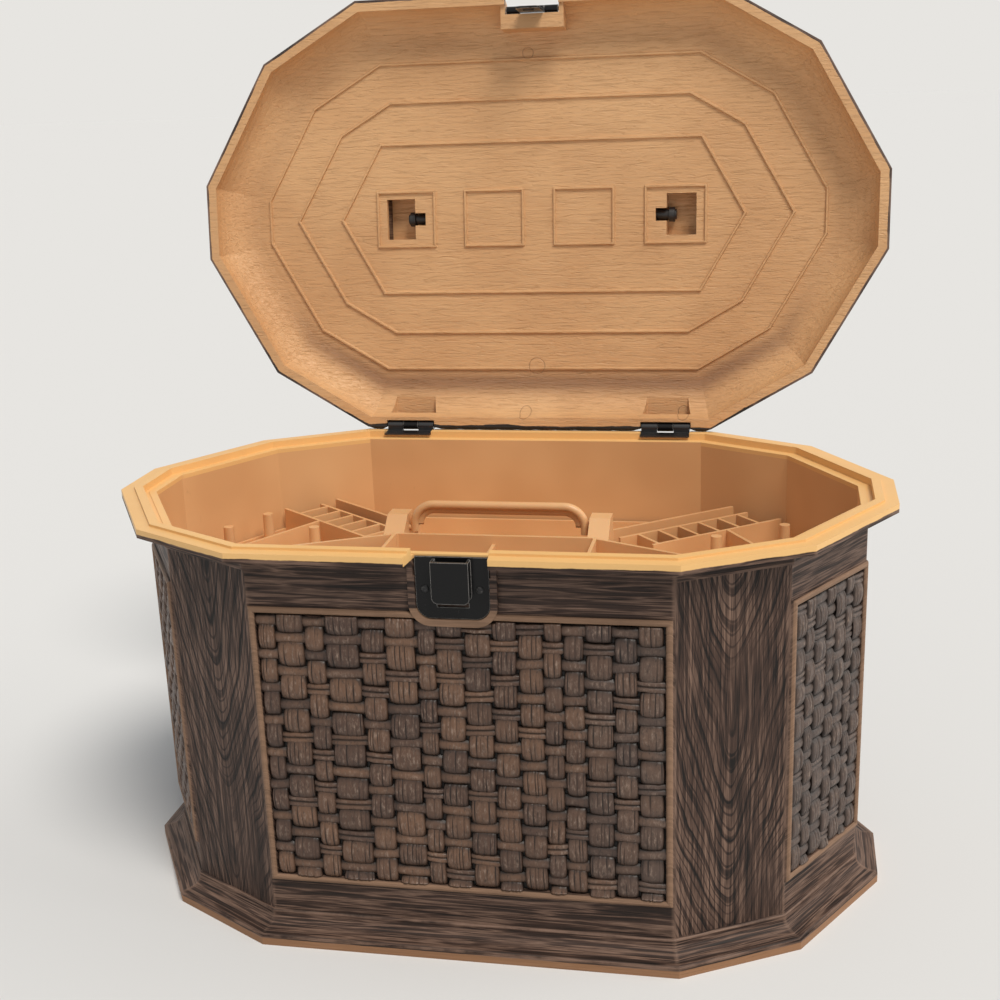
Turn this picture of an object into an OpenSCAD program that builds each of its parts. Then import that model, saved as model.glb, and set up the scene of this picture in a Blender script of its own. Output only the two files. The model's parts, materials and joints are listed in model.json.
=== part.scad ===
// Moulded sewing box with one hinged lid, a lift-out tray and a folding carrying handle.
// Frame: X along the front, to the right; Y to the back; Z up; origin at the middle of the underside.
// The plan is a twelve-sided figure whose sides face every 30 degrees.
// The lid is drawn open, as it stands in use; its pieces are laid out shut and swung up by on_lid().

/* [Plan] */
// Length over the rim flange, end to end
rim_l = 406.4; // [385:1:430]
// Depth over the rim flange, front to back
rim_w = 250.6; // [236:1:266]
// Length of the straight front and back edges of the rim flange
long_side = 210; // [196:1:224]
// Length of the straight end edges of the rim flange
end_side = 44; // [36:1:56]

/* [Box] */
// Height of the rim flange's top above the underside
box_h = 208.3; // [196:1:222]
// Overhang of the rim flange past the outer wall
flange_out = 14.2; // [12:0.2:17]
// Thickness of the rim flange
flange_t = 4.6; // [3.6:0.2:6]
// Thickness of the outer wall
wall_t = 3.8; // [3.4:0.1:4.6]
// Thickness of the bottom
floor_t = 3.2; // [2.4:0.2:4.4]
// Height of the raised lip above the flange
lip_h = 1.2; // [0.8:0.1:1.4]
// Width of the raised lip
lip_w = 4.6; // [3.6:0.2:5.2]
// Drop from the flange's top to the inner ledge
ledge_drop = 2.6; // [1.6:0.2:3.2]
// Height of the moulded skirt above the underside
skirt_h = 14; // [12:0.5:17]
// How far the skirt's foot stands out past the outer wall
skirt_out = 12.2; // [9:0.2:13.8]
// Height of the square edge at the skirt's foot
foot_h = 5; // [4:0.5:6.5]
// Depth of the fascia under the rim flange
fascia_h = 8; // [6:0.5:11]

/* [Woven panels] */
// Height of the woven panels' frames above the underside
panel_z = 31; // [27:0.5:38]
// Height of the woven panels' frames
panel_h = 147; // [136:1:152]
// Width of the half-round frame bead
bead_w = 3.6; // [3:0.2:4.6]
// How far the frame bead stands out of the wall
bead_out = 2; // [1.4:0.2:2.6]
// How far the panel's field is sunk into the wall
panel_sink = 1.8; // [1.2:0.1:2.1]
// Height of the woven relief above the sunk field
weave_h = 3.4; // [2.6:0.2:4]
// Height from one strap of a column to the next
weave_pitch = 17.3; // [15:0.5:20]
// Height of one strap where it crosses in front
strap_len = 12; // [10:0.5:13]
// Gap between neighbouring columns of straps
weave_gap = 0.6; // [0.4:0.1:1]

/* [Lid] */
// How far the lid stands open past shut, in degrees
lid_open = 96; // [91:1:100]
// Inside depth of the lid, from its rim to its flat middle
lid_depth = 19.1; // [16:0.5:24]
// Thickness of the lid's wall
lid_t = 3; // [2.6:0.1:3.4]
// Gap between the shut lid and the rim flange
lid_gap = 0.35; // [0.3:0.05:0.6]
// Width of the lid's flat land on the flange
lid_land = 6.2; // [5:0.2:6.6]
// Distance in from the rim at which the lid's curved wall reaches the flat middle
cove_in = 32; // [29:0.5:36]
// Distance in from the rim of the double ridge
ridge_in = 34.4; // [33.4:0.2:40]
// Distance in from the rim of the second ridge
ridge2_in = 56.7; // [50:0.5:60]
// Distance in from the rim of the third ridge
ridge3_in = 81; // [74:0.5:86]
// Width of the moulded ridges
ridge_w = 2; // [1.4:0.2:2.6]
// Height of the moulded ridges
ridge_h = 1.2; // [0.8:0.1:1.8]
// Length of the square ridge frames, along the lid
square_l = 35.4; // [33:0.2:38]
// Width of the square ridge frames, across the lid
square_w = 32.5; // [31:0.5:36]
// Spacing of the four square ridge frames
square_step = 54.6; // [52:0.2:57]
// Inside depth of the lid over the hinges, from its rim
pad_depth = 16; // [14.5:0.1:16]

/* [Hinges] */
// Width of each hinge
hinge_w = 28.6; // [26:0.2:32]
// Distance of each hinge's middle from the box's middle
hinge_x = 78.2; // [70:0.2:80]
// Thickness of the hinge leaves
leaf_t = 1; // [0.8:0.1:1.1]
// Radius of the hinge knuckles
knuckle_r = 2.6; // [2.4:0.1:2.8]
// Radius of the hinge pins
hinge_pin_r = 1.1; // [0.9:0.1:1.3]

/* [Latch] */
// Width of the keeper plate
keeper_w = 34.7; // [33.6:0.2:37]
// Height of the keeper plate
keeper_h = 30; // [28:0.5:32]
// Thickness of the keeper plate
keeper_t = 1.2; // [1:0.1:1.5]
// Width of the keeper's raised pocket
pocket_w = 17.8; // [17:0.2:20]
// Height of the keeper's raised pocket
pocket_h = 20; // [18:0.5:21]
// Inside depth of the keeper's pocket
pocket_d = 4; // [3.6:0.1:4.4]
// Width of the latch tongue
tongue_w = 13.6; // [11:0.2:14]
// Length of the latch tongue below its pin
tongue_l = 19; // [16:0.5:21]
// Radius of the latch knuckles
latch_r = 2; // [1.8:0.1:2.2]
// Radius of the latch pin
latch_pin_r = 0.9; // [0.7:0.1:1.1]

/* [Carrying handle] */
// Distance of each handle boss's inner face from the middle
boss_x = 67.3; // [64:0.2:70]
// Length of each handle boss
boss_l = 29.4; // [28:0.2:31]
// Width of each handle boss
boss_w = 29.4; // [27:0.2:31]
// Height of each handle boss above the lid
boss_h = 12; // [11:0.5:14]
// Radius of the handle's trunnions
trunnion_r = 3; // [2.6:0.1:3.2]
// Reach of the handle from its trunnions to the middle of the grip
handle_reach = 40; // [36:0.5:46]
// Thickness of the handle's grip
grip_t = 8.4; // [7:0.2:8.8]
// Width of the handle's grip
grip_w = 13; // [11:0.5:15]

/* [Tray] */
// Drop from the rim flange's top to the tray's underside
tray_drop = 62.3; // [58.3:0.5:70.3]
// Height of the tray's outer wall
tray_h = 11.6; // [10:0.2:14]
// Gap between the tray's outer wall and the box's wall
tray_gap = 2; // [1.4:0.1:3]
// Thickness of the tray's walls
tray_t = 1.8; // [1.6:0.1:2.2]
// Height of the bobbin ladders above the tray's underside
ladder_h = 24; // [21:0.5:27]
// Height of the tray's middle walls above its underside
middle_h = 39; // [36:0.5:41]
// Distance of the tray's long middle walls from its centre line
middle_y = 15; // [13:0.5:17]
// Length of the tray's long middle wall
middle_l = 106.6; // [102:0.5:112]
// Direction of the bobbin ladders from the box's length, in degrees
ladder_turn = 38.6; // [36:0.2:41]
// Length of each bobbin cell
cell_l = 13.4; // [12:0.2:14.4]
// Radius of the spool pegs
peg_r = 3.2; // [2.8:0.1:3.6]
// Height of the spool pegs above the tray's underside
peg_h = 28; // [24:0.5:31]
// Half the length of the tray's handle
tray_grip_x = 48.4; // [46:0.2:48.6]
// Height of the tray handle's top above its pivots
tray_grip_h = 15; // [13:0.5:16]
// Radius of the tray handle's bar
tray_grip_r = 2.3; // [2:0.1:2.5]

/* [Clearances] */
// Gap between faces of pieces that move past each other
slip = 0.3; // [0.25:0.05:0.4]
// Radial gap of a pin in its hole
run = 0.05; // [0.04:0.01:0.08]

/* [Hidden] */
$fn = 48;

// Colours of the finishes
tan_plastic = [0.85, 0.58, 0.36];
dark_wood = [0.24, 0.17, 0.14];
black_steel = [0.08, 0.08, 0.08];
black_plastic = [0.06, 0.06, 0.06];

// The plan's sides face 30 * i degrees from X; half turns repeat every 6 sides
sides = 12;
turn = 30;
reach_slope = long_side / 2 * cos(60) + rim_w / 2 * sin(60);
reach_steep = rim_l / 2 * cos(30) + end_side / 2 * sin(30);
END = 0;
STEEP_A = 1;
BACK = 3;
STEEP_B = 5;
STEEP_C = 7;
FRONT = 9;
STEEP_D = 11;

// Distance from the middle to side i of the rim flange
function reach(i) =
  let (k = i % 6)
  k == 0 ? rim_l / 2 : k == 3 ? rim_w / 2 : (k == 2 || k == 4) ? reach_slope : reach_steep;

// Corner between sides i and i + 1, inset by d
function corner(i, d) =
  let (a = turn * i, b = turn * (i + 1), p = reach(i) - d, q = reach(i + 1) - d)
  [(p * sin(b) - q * sin(a)) / sin(turn), (q * cos(a) - p * cos(b)) / sin(turn)];

function outline(d) = [for (i = [0 : sides - 1]) corner(i, d)];

// Length of side i, inset by d
function side_len(i, d) = norm(corner(i, d) - corner((i + sides - 1) % sides, d));

// How far the middle of side i lies along it from the foot of the square line to the middle of the box
function side_mid(i) =
  let (m = (corner(i, 0) + corner((i + sides - 1) % sides, 0)) / 2, a = turn * i + 90)
  m[0] * cos(a) + m[1] * sin(a);

// Distances in from the flange's edge
wall_in = flange_out;
cavity_in = flange_out + wall_t;
foot_in = flange_out - skirt_out;
lip_in = lid_land + slip + 0.3;
front_wall_y = -(rim_w / 2 - wall_in);
fascia_z = box_h - flange_t - fascia_h;
panel_sides = [FRONT, BACK, STEEP_A, STEEP_B, STEEP_C, STEEP_D];

// Hinge axis, with the lid shut or open
axis_y = rim_w / 2 - 1;
axis_z = box_h + 2.7;
knuckle_mid = hinge_w / 3;
rivet_r = 1.5;
rivet_x = 8;
leaf_in = 13;
leaf_rivet_in = 7;

// Lid heights, with the lid shut
land_z = box_h + lid_gap;
lid_in_z = box_h + lid_depth;
lid_top_z = lid_in_z + lid_t;
pad_z = land_z + lid_t;
pad_wall = 2.5;
hinge_pad_w = hinge_w + 2 * pad_wall + 2 * slip;
hollow_z = axis_z + knuckle_r + 3;
hollow_in = 3;
hollow_draft = 2;
leaf_rivet_z = axis_z + 8.5;
leaf_top = leaf_rivet_z + 4.5;
groove_z = box_h + lip_h + lid_gap + 0.4;
pad_floor = pad_z - groove_z;
cove_rise = lid_in_z - groove_z;
cove_steps = 8;
block_top = box_h + pad_depth + lid_t;
block_in = cove_in - 6;
latch_pad_in = 19.5;

// Latch
latch_in = 9;
latch_y = -(rim_w / 2 - latch_in);
latch_z = pad_z + 0.5;
latch_half = tongue_w / 2 + slip;
latch_plate_w = 30;
latch_pad_w = keeper_w + 2;
cut_w = keeper_w + 1.4;
keeper_top = box_h - 3.2;
keeper_r = 7;
keeper_rivet_x = 12.9;
keeper_rivet_z = keeper_top - 15.6;
slot_w = 15;
slot_h = 2.2;
slot_drop = 3.2;
surround_w = 3.4;
surround_out = 2.4;
latch_notch_in = latch_in + latch_r + 0.4;
latch_rivet_x = 9.5;
latch_rivet_y = -(rim_w / 2 - 14);
latch_leaf_l = 5;
tongue_t = 1.2;

// Carrying handle
boss_wall = 2.7;
trunnion_z = lid_top_z + 4.9;
pocket_in_x = boss_x + 9.2;
pocket_end_x = boss_x + boss_l - boss_wall;
cap_l = 3.4;
leg_w = 8;
leg_x = boss_x - slip - leg_w / 2 - 0.2;
leg_bend = 12;
grip_half = leg_x + leg_w / 2 - leg_bend;
grip_offset = -4;
trunnion_l = pocket_in_x + cap_l + 2 - leg_x;

// Tray
tray_in = cavity_in + tray_gap;
tray_z = box_h - tray_drop;
ladder_top = tray_z + ladder_h;
middle_top = tray_z + middle_h;
tray_floor = tray_z + tray_t;
ladder_near = 32;
ladder_mid = 11.5;
ladder_far = 2.4;
ladder_start = 68;
ladder_end = 164;
cells = 6;
pegs = [[163, 24.5], [149, 51.5], [113, 28]];
front_pegs = [[163, -24.5], [149, -51.5]];
slant_wall = [[117.6, 53.6], [146.2, 4.6]];
end_wall_x = 181;
end_wall_y = 4.6;
wing_end = [154, -66];
divider_l = 48;
mid_divider_l = 40;
mid_divider_drop = 4.6;
rear_wall_y = middle_y + 4;
grip_pivot_z = middle_top - 1;
grip_stub_r = 1.6;
grip_bend = 11;
tray_boss_w = 11;
tray_boss_top = middle_top + 7;
rib_t = 3;
rib_d = 6;
rib_x = 60;

// Long enough to reach right through a wall
through = 20;

// Steps of the curved sections
skirt_steps = 6;
skirt_step = 0.8;
bead_steps = 6;

// Widths of the woven columns, as shares of a panel's width
weave_shares_long = [9, 14, 10, 17, 12, 15, 9, 13, 13, 12, 12, 9, 10, 13, 11, 12];
weave_shares_short = [10, 9, 12, 9, 11, 8, 10];

// Places its children on side i: local -Y points out of the box, X runs along the side
module on_side(i, d = 0) {
  rotate([0, 0, turn * i + 90]) translate([side_mid(i), -(reach(i) - d), 0]) children();
}

// Swings pieces that are laid out for the shut lid up to where the lid stands
module on_lid() {
  translate([0, axis_y, axis_z])
    rotate([-lid_open, 0, 0])
      translate([0, -axis_y, -axis_z]) children();
}

// Extrudes an outline of [out of the side, up] points along X, centred, for on_side()
module run_along(length, points) {
  rotate([90, 0, 90]) linear_extrude(height = length, center = true) polygon(points);
}

// Solid whose twelve sides all have one profile of [inset, height] points, listed upwards
module sided_body(profile) {
  far = 2 * rim_l;
  last = len(profile) - 1;
  intersection_for (i = [0 : sides - 1])
    on_side(i) run_along(far, concat([[far, profile[0][1]]], profile, [[far, profile[last][1]]]));
}

module ring(d_out, d_in, z0, z1) {
  translate([0, 0, z0])
    linear_extrude(height = z1 - z0)
      difference() {
        polygon(outline(d_out));
        polygon(outline(d_in));
      }
}

module slab(d, z0, z1) {
  translate([0, 0, z0]) linear_extrude(height = z1 - z0) polygon(outline(d));
}

// A plate outline with its lower corners rounded, hanging down from y = 0
module hanging_plate(w, h, r) {
  translate([-w / 2, -h + r]) square([w, h - r]);
  translate([-w / 2 + r, -h]) square([w - 2 * r, r + 1]);
  for (s = [-1, 1]) translate([s * (w / 2 - r), -h + r]) circle(r);
}

// Box

// Hollow curve of the skirt, from its foot up to the wall
function skirt_profile() =
  let (run_in = skirt_out - 2.9, rise = skirt_h - foot_h - 3)
  concat(
    [[foot_in, 0], [foot_in, foot_h], [foot_in + skirt_step, foot_h]],
    [for (k = [0 : skirt_steps])
      let (a = 90 * k / skirt_steps)
      [foot_in + 2 * skirt_step + run_in * sin(a), foot_h + skirt_step + rise * (1 - cos(a))]],
    [[wall_in - 1.3, skirt_h - skirt_step], [wall_in - 0.6, skirt_h]]
  );

// Stepped fascia that spreads up to the rim flange
function fascia_profile() = [
  [wall_in - 0.7, fascia_z], [wall_in - 1.2, fascia_z + 0.8],
  [wall_in - 1.2, fascia_z + fascia_h * 0.55], [wall_in - 2, fascia_z + fascia_h * 0.7],
  [wall_in - 4.4, fascia_z + fascia_h], [wall_in - 4.4, fascia_z + fascia_h + 0.5]
];

// Width of the frame of the woven panel on side i
function frame_w(i) = side_len(i, wall_in) - 0.6;

// Half-round bead section, its flat on the wall
function bead_section() = concat(
  [[-bead_w / 2, -0.5]],
  [for (k = [0 : bead_steps])
    let (a = 180 - 180 * k / bead_steps)
    [bead_w / 2 * cos(a), bead_out * sin(a)]],
  [[bead_w / 2, -0.5]]
);

// A frame of beads with mitred corners, standing out towards local -Y
module bead_frame(w, h) {
  for (k = [0 : 3]) {
    long = k % 2 == 0 ? w : h;
    away = k % 2 == 0 ? h : w;
    translate([0, 0, h / 2]) rotate([0, 90 * k, 0])
      intersection() {
        translate([0, 0, -away / 2 + bead_w / 2])
          run_along(long, [for (p = bead_section()) [-p[1], p[0]]]);
        rotate([90, 0, 0])
          linear_extrude(height = through, center = true)
            polygon([
              [-long / 2, -away / 2], [long / 2, -away / 2],
              [long / 2 - bead_w, -away / 2 + bead_w], [-long / 2 + bead_w, -away / 2 + bead_w]
            ]);
      }
  }
}

// Sunk field of a woven panel on side i, grown by g
module panel_field(i, depth, g = 0) {
  w = frame_w(i) - 2 * bead_w + 2 * g;
  on_side(i, wall_in)
    translate([-w / 2, -1, panel_z + bead_w - g])
      cube([w, depth + 1, panel_h - 2 * bead_w + 2 * g]);
}

// Raised border round the keeper plate, filled behind the plate
module latch_surround() {
  translate([0, front_wall_y, keeper_top]) rotate([90, 0, 0])
    translate([0, 0, -panel_sink - 0.5])
      linear_extrude(height = panel_sink + surround_out + 0.5)
        hanging_plate(
          keeper_w + 2 * (slip + surround_w), keeper_h + slip + surround_w,
          keeper_r + slip + surround_w);
}

// Flat seat of the keeper plate, open at the top
module keeper_seat() {
  w = keeper_w + 2 * slip;
  translate([0, front_wall_y, keeper_top]) rotate([90, 0, 0])
    linear_extrude(height = surround_out + 1) {
      hanging_plate(w, keeper_h + slip, keeper_r + slip);
      translate([-w / 2, -keeper_h / 2]) square([w, keeper_h]);
    }
}

// One rib up to z on the inside of a wall, for on_side()
module tray_rib(z) {
  root = 0.5;
  translate([-rib_t / 2, -root, floor_t - root]) cube([rib_t, rib_d + root, z - floor_t + root]);
}

// Ribs inside the box that carry the tray
module tray_ribs() {
  top = tray_z - slip;
  for (i = [FRONT, BACK], s = [-1, 1])
    on_side(i, cavity_in)
      translate([s * rib_x, 0, 0]) tray_rib(top);
  for (i = [END, END + 6])
    on_side(i, cavity_in) tray_rib(top);
}

module box_shell() {
  color(dark_wood)
    difference() {
      union() {
        difference() {
          union() {
            slab(wall_in, 0, box_h - flange_t / 2);
            sided_body(skirt_profile());
            sided_body(fascia_profile());
          }
          slab(cavity_in, floor_t, box_h);
          for (i = panel_sides) panel_field(i, panel_sink);
        }
        ring(0, cavity_in, box_h - flange_t, box_h - ledge_drop);
        ring(0, lip_in + lip_w, box_h - ledge_drop, box_h);
        ring(lip_in, lip_in + lip_w, box_h - 1, box_h + lip_h);
        for (i = panel_sides)
          on_side(i, wall_in) translate([0, 0, panel_z]) bead_frame(frame_w(i), panel_h);
        latch_surround();
        tray_ribs();
      }
      latch_cut();
      keeper_seat();
      for (s = [-1, 1]) hinge_recess(s * hinge_x);
      for (s = [-1, 1])
        translate([s * keeper_rivet_x, front_wall_y, keeper_rivet_z])
          rotate([90, 0, 0]) cylinder(r = rivet_r + run, h = through, center = true);
    }
}

// The flange is cut away over the keeper, with slanted ends
module latch_cut() {
  translate([0, 0, box_h - flange_t - 8])
    linear_extrude(height = flange_t + 12)
      polygon([
        [-cut_w / 2, front_wall_y], [cut_w / 2, front_wall_y],
        [cut_w / 2 + 1.6, -rim_w / 2 - 1], [-cut_w / 2 - 1.6, -rim_w / 2 - 1]
      ]);
}

// Seat of a hinge leaf in the back flange
module hinge_recess(x) {
  w = hinge_w + 2 * slip;
  translate([x - w / 2, rim_w / 2 - leaf_in - slip, box_h - leaf_t])
    cube([w, leaf_in + slip + 1, lip_h + leaf_t + 1]);
  for (s = [-1, 1])
    translate([x + s * rivet_x, rim_w / 2 - leaf_rivet_in, box_h - flange_t - 1])
      cylinder(r = rivet_r + run, h = flange_t + 2);
}

// Woven panels

function sum_to(list, n, k = 0) = k >= n ? 0 : list[k] + sum_to(list, n, k + 1);

// One crossing of a strap: [share of the strap's length, share of the relief's height]
strap_curve = [[0, 0.3], [0.05, 0.7], [0.25, 0.96], [0.5, 1], [0.75, 0.96], [0.95, 0.7], [1, 0.3]];
// The cord between two straps: [share of the gap, share of the relief's height]
cord_curve = [[0.2, 0.44], [0.5, 0.56], [0.8, 0.44]];

function column_points(h, phase) = [
  for (k = [-1 : ceil(h / weave_pitch)])
    let (z = (k + phase) * weave_pitch, gap = weave_pitch - strap_len)
    for (p = concat(
      [for (s = strap_curve) [s[1], z + s[0] * strap_len]],
      [for (c = cord_curve) [c[1], z + strap_len + c[0] * gap]]
    ))
      if (p[1] > 0.5 && p[1] < h - 0.5) [-p[0] * weave_h, p[1]]
];

// Woven relief of straps over cords on a thin back, filling w by h, out towards local -Y
module weave(w, h, shares) {
  total = sum_to(shares, len(shares));
  back = 0.6;
  translate([-w / 2, -back, 0]) cube([w, back, h]);
  for (j = [0 : len(shares) - 1]) {
    x0 = w * sum_to(shares, j) / total - w / 2;
    cw = w * shares[j] / total - weave_gap;
    pts = column_points(h, (j % 2) * 0.5);
    translate([x0 + weave_gap / 2 + cw / 2, 0, 0])
      run_along(cw, concat(
        [[0, 0.3], [-weave_h * 0.5, 0.3]], pts, [[-weave_h * 0.5, h - 0.3], [0, h - 0.3]]));
  }
}

module side_weave(i, shares) {
  w = frame_w(i) - 2 * bead_w - 2 * slip;
  h = panel_h - 2 * bead_w - 2 * slip;
  color(dark_wood)
    on_side(i, wall_in + panel_sink)
      translate([0, 0, panel_z + bead_w + slip]) weave(w, h, shares);
}

// The front panel stops short of the keeper's border
module front_weave_panel() {
  notch_w = keeper_w + 4 * slip + 2 * surround_w;
  difference() {
    side_weave(FRONT, weave_shares_long);
    translate([-notch_w / 2, -rim_w / 2, keeper_top - keeper_h - 2 * slip - surround_w])
      cube([notch_w, rim_w / 2, keeper_h + surround_w + 2]);
  }
}
module rear_weave_panel() { side_weave(BACK, weave_shares_long); }
module right_front_weave_panel() { side_weave(STEEP_D, weave_shares_short); }
module right_rear_weave_panel() { side_weave(STEEP_A, weave_shares_short); }
module left_front_weave_panel() { side_weave(STEEP_C, weave_shares_short); }
module left_rear_weave_panel() { side_weave(STEEP_B, weave_shares_short); }

// Latch keeper: a plate with a raised pocket that is open at the top, and a slot under it

module latch_keeper() {
  pocket_top = keeper_top - 1.2;
  color(black_steel)
    translate([0, front_wall_y, 0]) rotate([90, 0, 0])
      difference() {
        union() {
          translate([0, keeper_top, 0])
            linear_extrude(height = keeper_t) hanging_plate(keeper_w, keeper_h, keeper_r);
          translate([0, pocket_top, 0])
            linear_extrude(height = 2 * keeper_t + pocket_d) hanging_plate(pocket_w, pocket_h, 3);
        }
        translate([0, keeper_top + 3, keeper_t])
          linear_extrude(height = pocket_d)
            hanging_plate(pocket_w - 2 * keeper_t, pocket_h + 4.2 - keeper_t, 2);
        translate([-slot_w / 2, pocket_top - pocket_h - slot_drop, -1]) cube([slot_w, slot_h, keeper_t + 2]);
        for (s = [-1, 1])
          translate([s * keeper_rivet_x, keeper_rivet_z, -1]) cylinder(r = rivet_r + run, h = keeper_t + 2);
      }
}

// A round-headed rivet along Z, its head on z = 0 and its shank below
module rivet(shank, head_r = 2.4, head_h = 0.9) {
  translate([0, 0, -shank]) cylinder(r = rivet_r, h = shank);
  rotate_extrude()
    polygon([
      [0, 0], [head_r, 0], [head_r * 0.86, head_h * 0.6], [head_r * 0.5, head_h * 0.93], [0, head_h]
    ]);
}

module keeper_rivets() {
  color(black_steel)
    for (s = [-1, 1])
      translate([s * keeper_rivet_x, front_wall_y - keeper_t, keeper_rivet_z])
        rotate([90, 0, 0]) rivet(keeper_t + wall_t - 0.4, 1.9, 0.8);
}

// Hinges

// Knuckles of one leaf about the hinge axis, given as [from, to] along X
module knuckles(spans, r, bore_r) {
  for (s = spans)
    translate([s[0], 0, 0]) rotate([0, 90, 0])
      difference() {
        cylinder(r = r, h = s[1] - s[0]);
        translate([0, 0, -1]) cylinder(r = bore_r, h = s[1] - s[0] + 2);
      }
}

module hinge_box_leaf(x) {
  half = hinge_w / 2;
  inner = knuckle_mid / 2 + slip / 2;
  front = rim_w / 2 - leaf_in;
  edge = axis_y - knuckle_r;
  color(black_steel)
    difference() {
      union() {
        translate([x - half, front, box_h - leaf_t]) cube([hinge_w, edge - slip - front, leaf_t]);
        for (s = [-1, 1])
          translate([x + s * (half + inner) / 2 - (half - inner) / 2, edge, box_h - leaf_t]) {
            translate([0, -1, 0]) cube([half - inner, knuckle_r + 1, leaf_t]);
            cube([half - inner, knuckle_r, axis_z - box_h + leaf_t]);
          }
        translate([x, axis_y, axis_z])
          knuckles([[-half, -inner], [inner, half]], knuckle_r, hinge_pin_r + run);
      }
      translate([x - half - 1, axis_y, axis_z]) rotate([0, 90, 0])
        cylinder(r = hinge_pin_r + run, h = hinge_w + 2);
      for (s = [-1, 1])
        translate([x + s * rivet_x, rim_w / 2 - leaf_rivet_in, box_h - leaf_t - 1])
          cylinder(r = rivet_r + run, h = leaf_t + 2);
    }
}
module left_hinge_box_leaf() { hinge_box_leaf(-hinge_x); }
module right_hinge_box_leaf() { hinge_box_leaf(hinge_x); }

// Stands against the lid's back wall, its middle reaching down to the knuckle
module hinge_lid_leaf(x) {
  half = hinge_w / 2;
  inner = knuckle_mid / 2 - slip / 2;
  foot = axis_z + knuckle_r + slip;
  color(black_steel)
    on_lid()
      difference() {
        union() {
          translate([x - half, rim_w / 2, foot]) cube([hinge_w, leaf_t, leaf_top - foot]);
          translate([x - inner, rim_w / 2, axis_z]) cube([2 * inner, leaf_t, foot - axis_z + 1]);
          translate([x, axis_y, axis_z]) knuckles([[-inner, inner]], knuckle_r, hinge_pin_r + run);
        }
        translate([x - half - 1, axis_y, axis_z]) rotate([0, 90, 0])
          cylinder(r = hinge_pin_r + run, h = hinge_w + 2);
        leaf_holes(x);
      }
}
// Holes for a lid leaf's rivets, through the leaf and the lid's back wall
module leaf_holes(x) {
  for (s = [-1, 1])
    translate([x + s * rivet_x, rim_w / 2 - hollow_in - 1, leaf_rivet_z]) rotate([-90, 0, 0])
      cylinder(r = rivet_r + run, h = hollow_in + leaf_t + 2);
}
module left_hinge_lid_leaf() { hinge_lid_leaf(-hinge_x); }
module right_hinge_lid_leaf() { hinge_lid_leaf(hinge_x); }

module hinge_pin(x) {
  color(black_steel)
    translate([x, axis_y, axis_z]) rotate([0, 90, 0])
      cylinder(r = hinge_pin_r, h = hinge_w + 1.2, center = true);
}
module left_hinge_pin() { hinge_pin(-hinge_x); }
module right_hinge_pin() { hinge_pin(hinge_x); }

// Flush on top, with their heads under the flange
module hinge_box_rivets() {
  color(black_steel)
    for (x = [-hinge_x, hinge_x], s = [-1, 1])
      translate([x + s * rivet_x, rim_w / 2 - leaf_rivet_in, box_h - flange_t])
        rotate([180, 0, 0]) rivet(flange_t);
}

module hinge_lid_rivets() {
  color(black_steel)
    on_lid()
      for (x = [-hinge_x, hinge_x], s = [-1, 1])
        translate([x + s * rivet_x, rim_w / 2 + leaf_t, leaf_rivet_z])
          rotate([-90, 0, 0]) rivet(leaf_t + hollow_in + 0.3);
}

// Lid

// Quarter ellipse of the curved wall from angle a up to the flat middle, g outside the inner face
function cove(a, g) = [
  for (k = [0 : cove_steps])
    let (t = a + (90 - a) * k / cove_steps)
    [cove_in - (cove_in - lid_land + g) * cos(t), groove_z + (cove_rise + g) * sin(t)]
];
outer_start = asin((pad_z - groove_z) / (cove_rise + lid_t));

// Flat seat of the latch plate, w wide, with a wall up to the lid's outer face
module latch_pad(w) {
  on_side(FRONT)
    run_along(w, concat(
      [[latch_pad_in, lid_in_z - 1], [latch_pad_in, groove_z], [lid_land, groove_z], [lid_land, land_z]],
      [[0, land_z], [0, pad_z]],
      [for (p = cove(outer_start, lid_t)) if (p[1] < lid_in_z - 2) p]
    ));
}
// Room over the latch plate, open to the lid's edge
module latch_pad_cut(w) {
  on_side(FRONT) translate([-w / 2 + pad_wall, -1, pad_z])
    cube([w - 2 * pad_wall, latch_pad_in - pad_wall + 1, lid_depth + 2]);
}

// Block over a hinge, flush with the lid's edge, that backs the lid leaf
module hinge_block(x) {
  on_side(BACK) translate([x, 0, 0])
    run_along(hinge_pad_w, [
      [0, land_z], [0, block_top], [block_in, block_top], [block_in, land_z]
    ]);
}
// Hollow inside a hinge block, narrower towards its floor
module hinge_hollow(x) {
  half = hinge_w / 2;
  rise = box_h + pad_depth - hollow_z;
  translate([x, 0, hollow_z])
    rotate([90, 0, 0])
      translate([0, 0, -(rim_w / 2 - hollow_in)])
        linear_extrude(height = cove_in - hollow_in)
          polygon([
            [-half, 0], [half, 0], [half - hollow_draft, rise], [-half + hollow_draft, rise]
          ]);
}

ridge_section = [
  [-ridge_w / 2, 0.4], [-ridge_w / 4, -ridge_h], [ridge_w / 4, -ridge_h], [ridge_w / 2, 0.4]
];

// A ridge along the line from a to b on the lid's inner face
module ridge(a, b) {
  d = b - a;
  translate([a[0], a[1], lid_in_z]) rotate([0, 0, atan2(d[1], d[0])])
    translate([norm(d) / 2, 0, 0]) run_along(norm(d) + ridge_w * 0.5, ridge_section);
}
module ridge_loop(points) {
  n = len(points);
  for (k = [0 : n - 1]) ridge(points[k], points[(k + 1) % n]);
}

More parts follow.
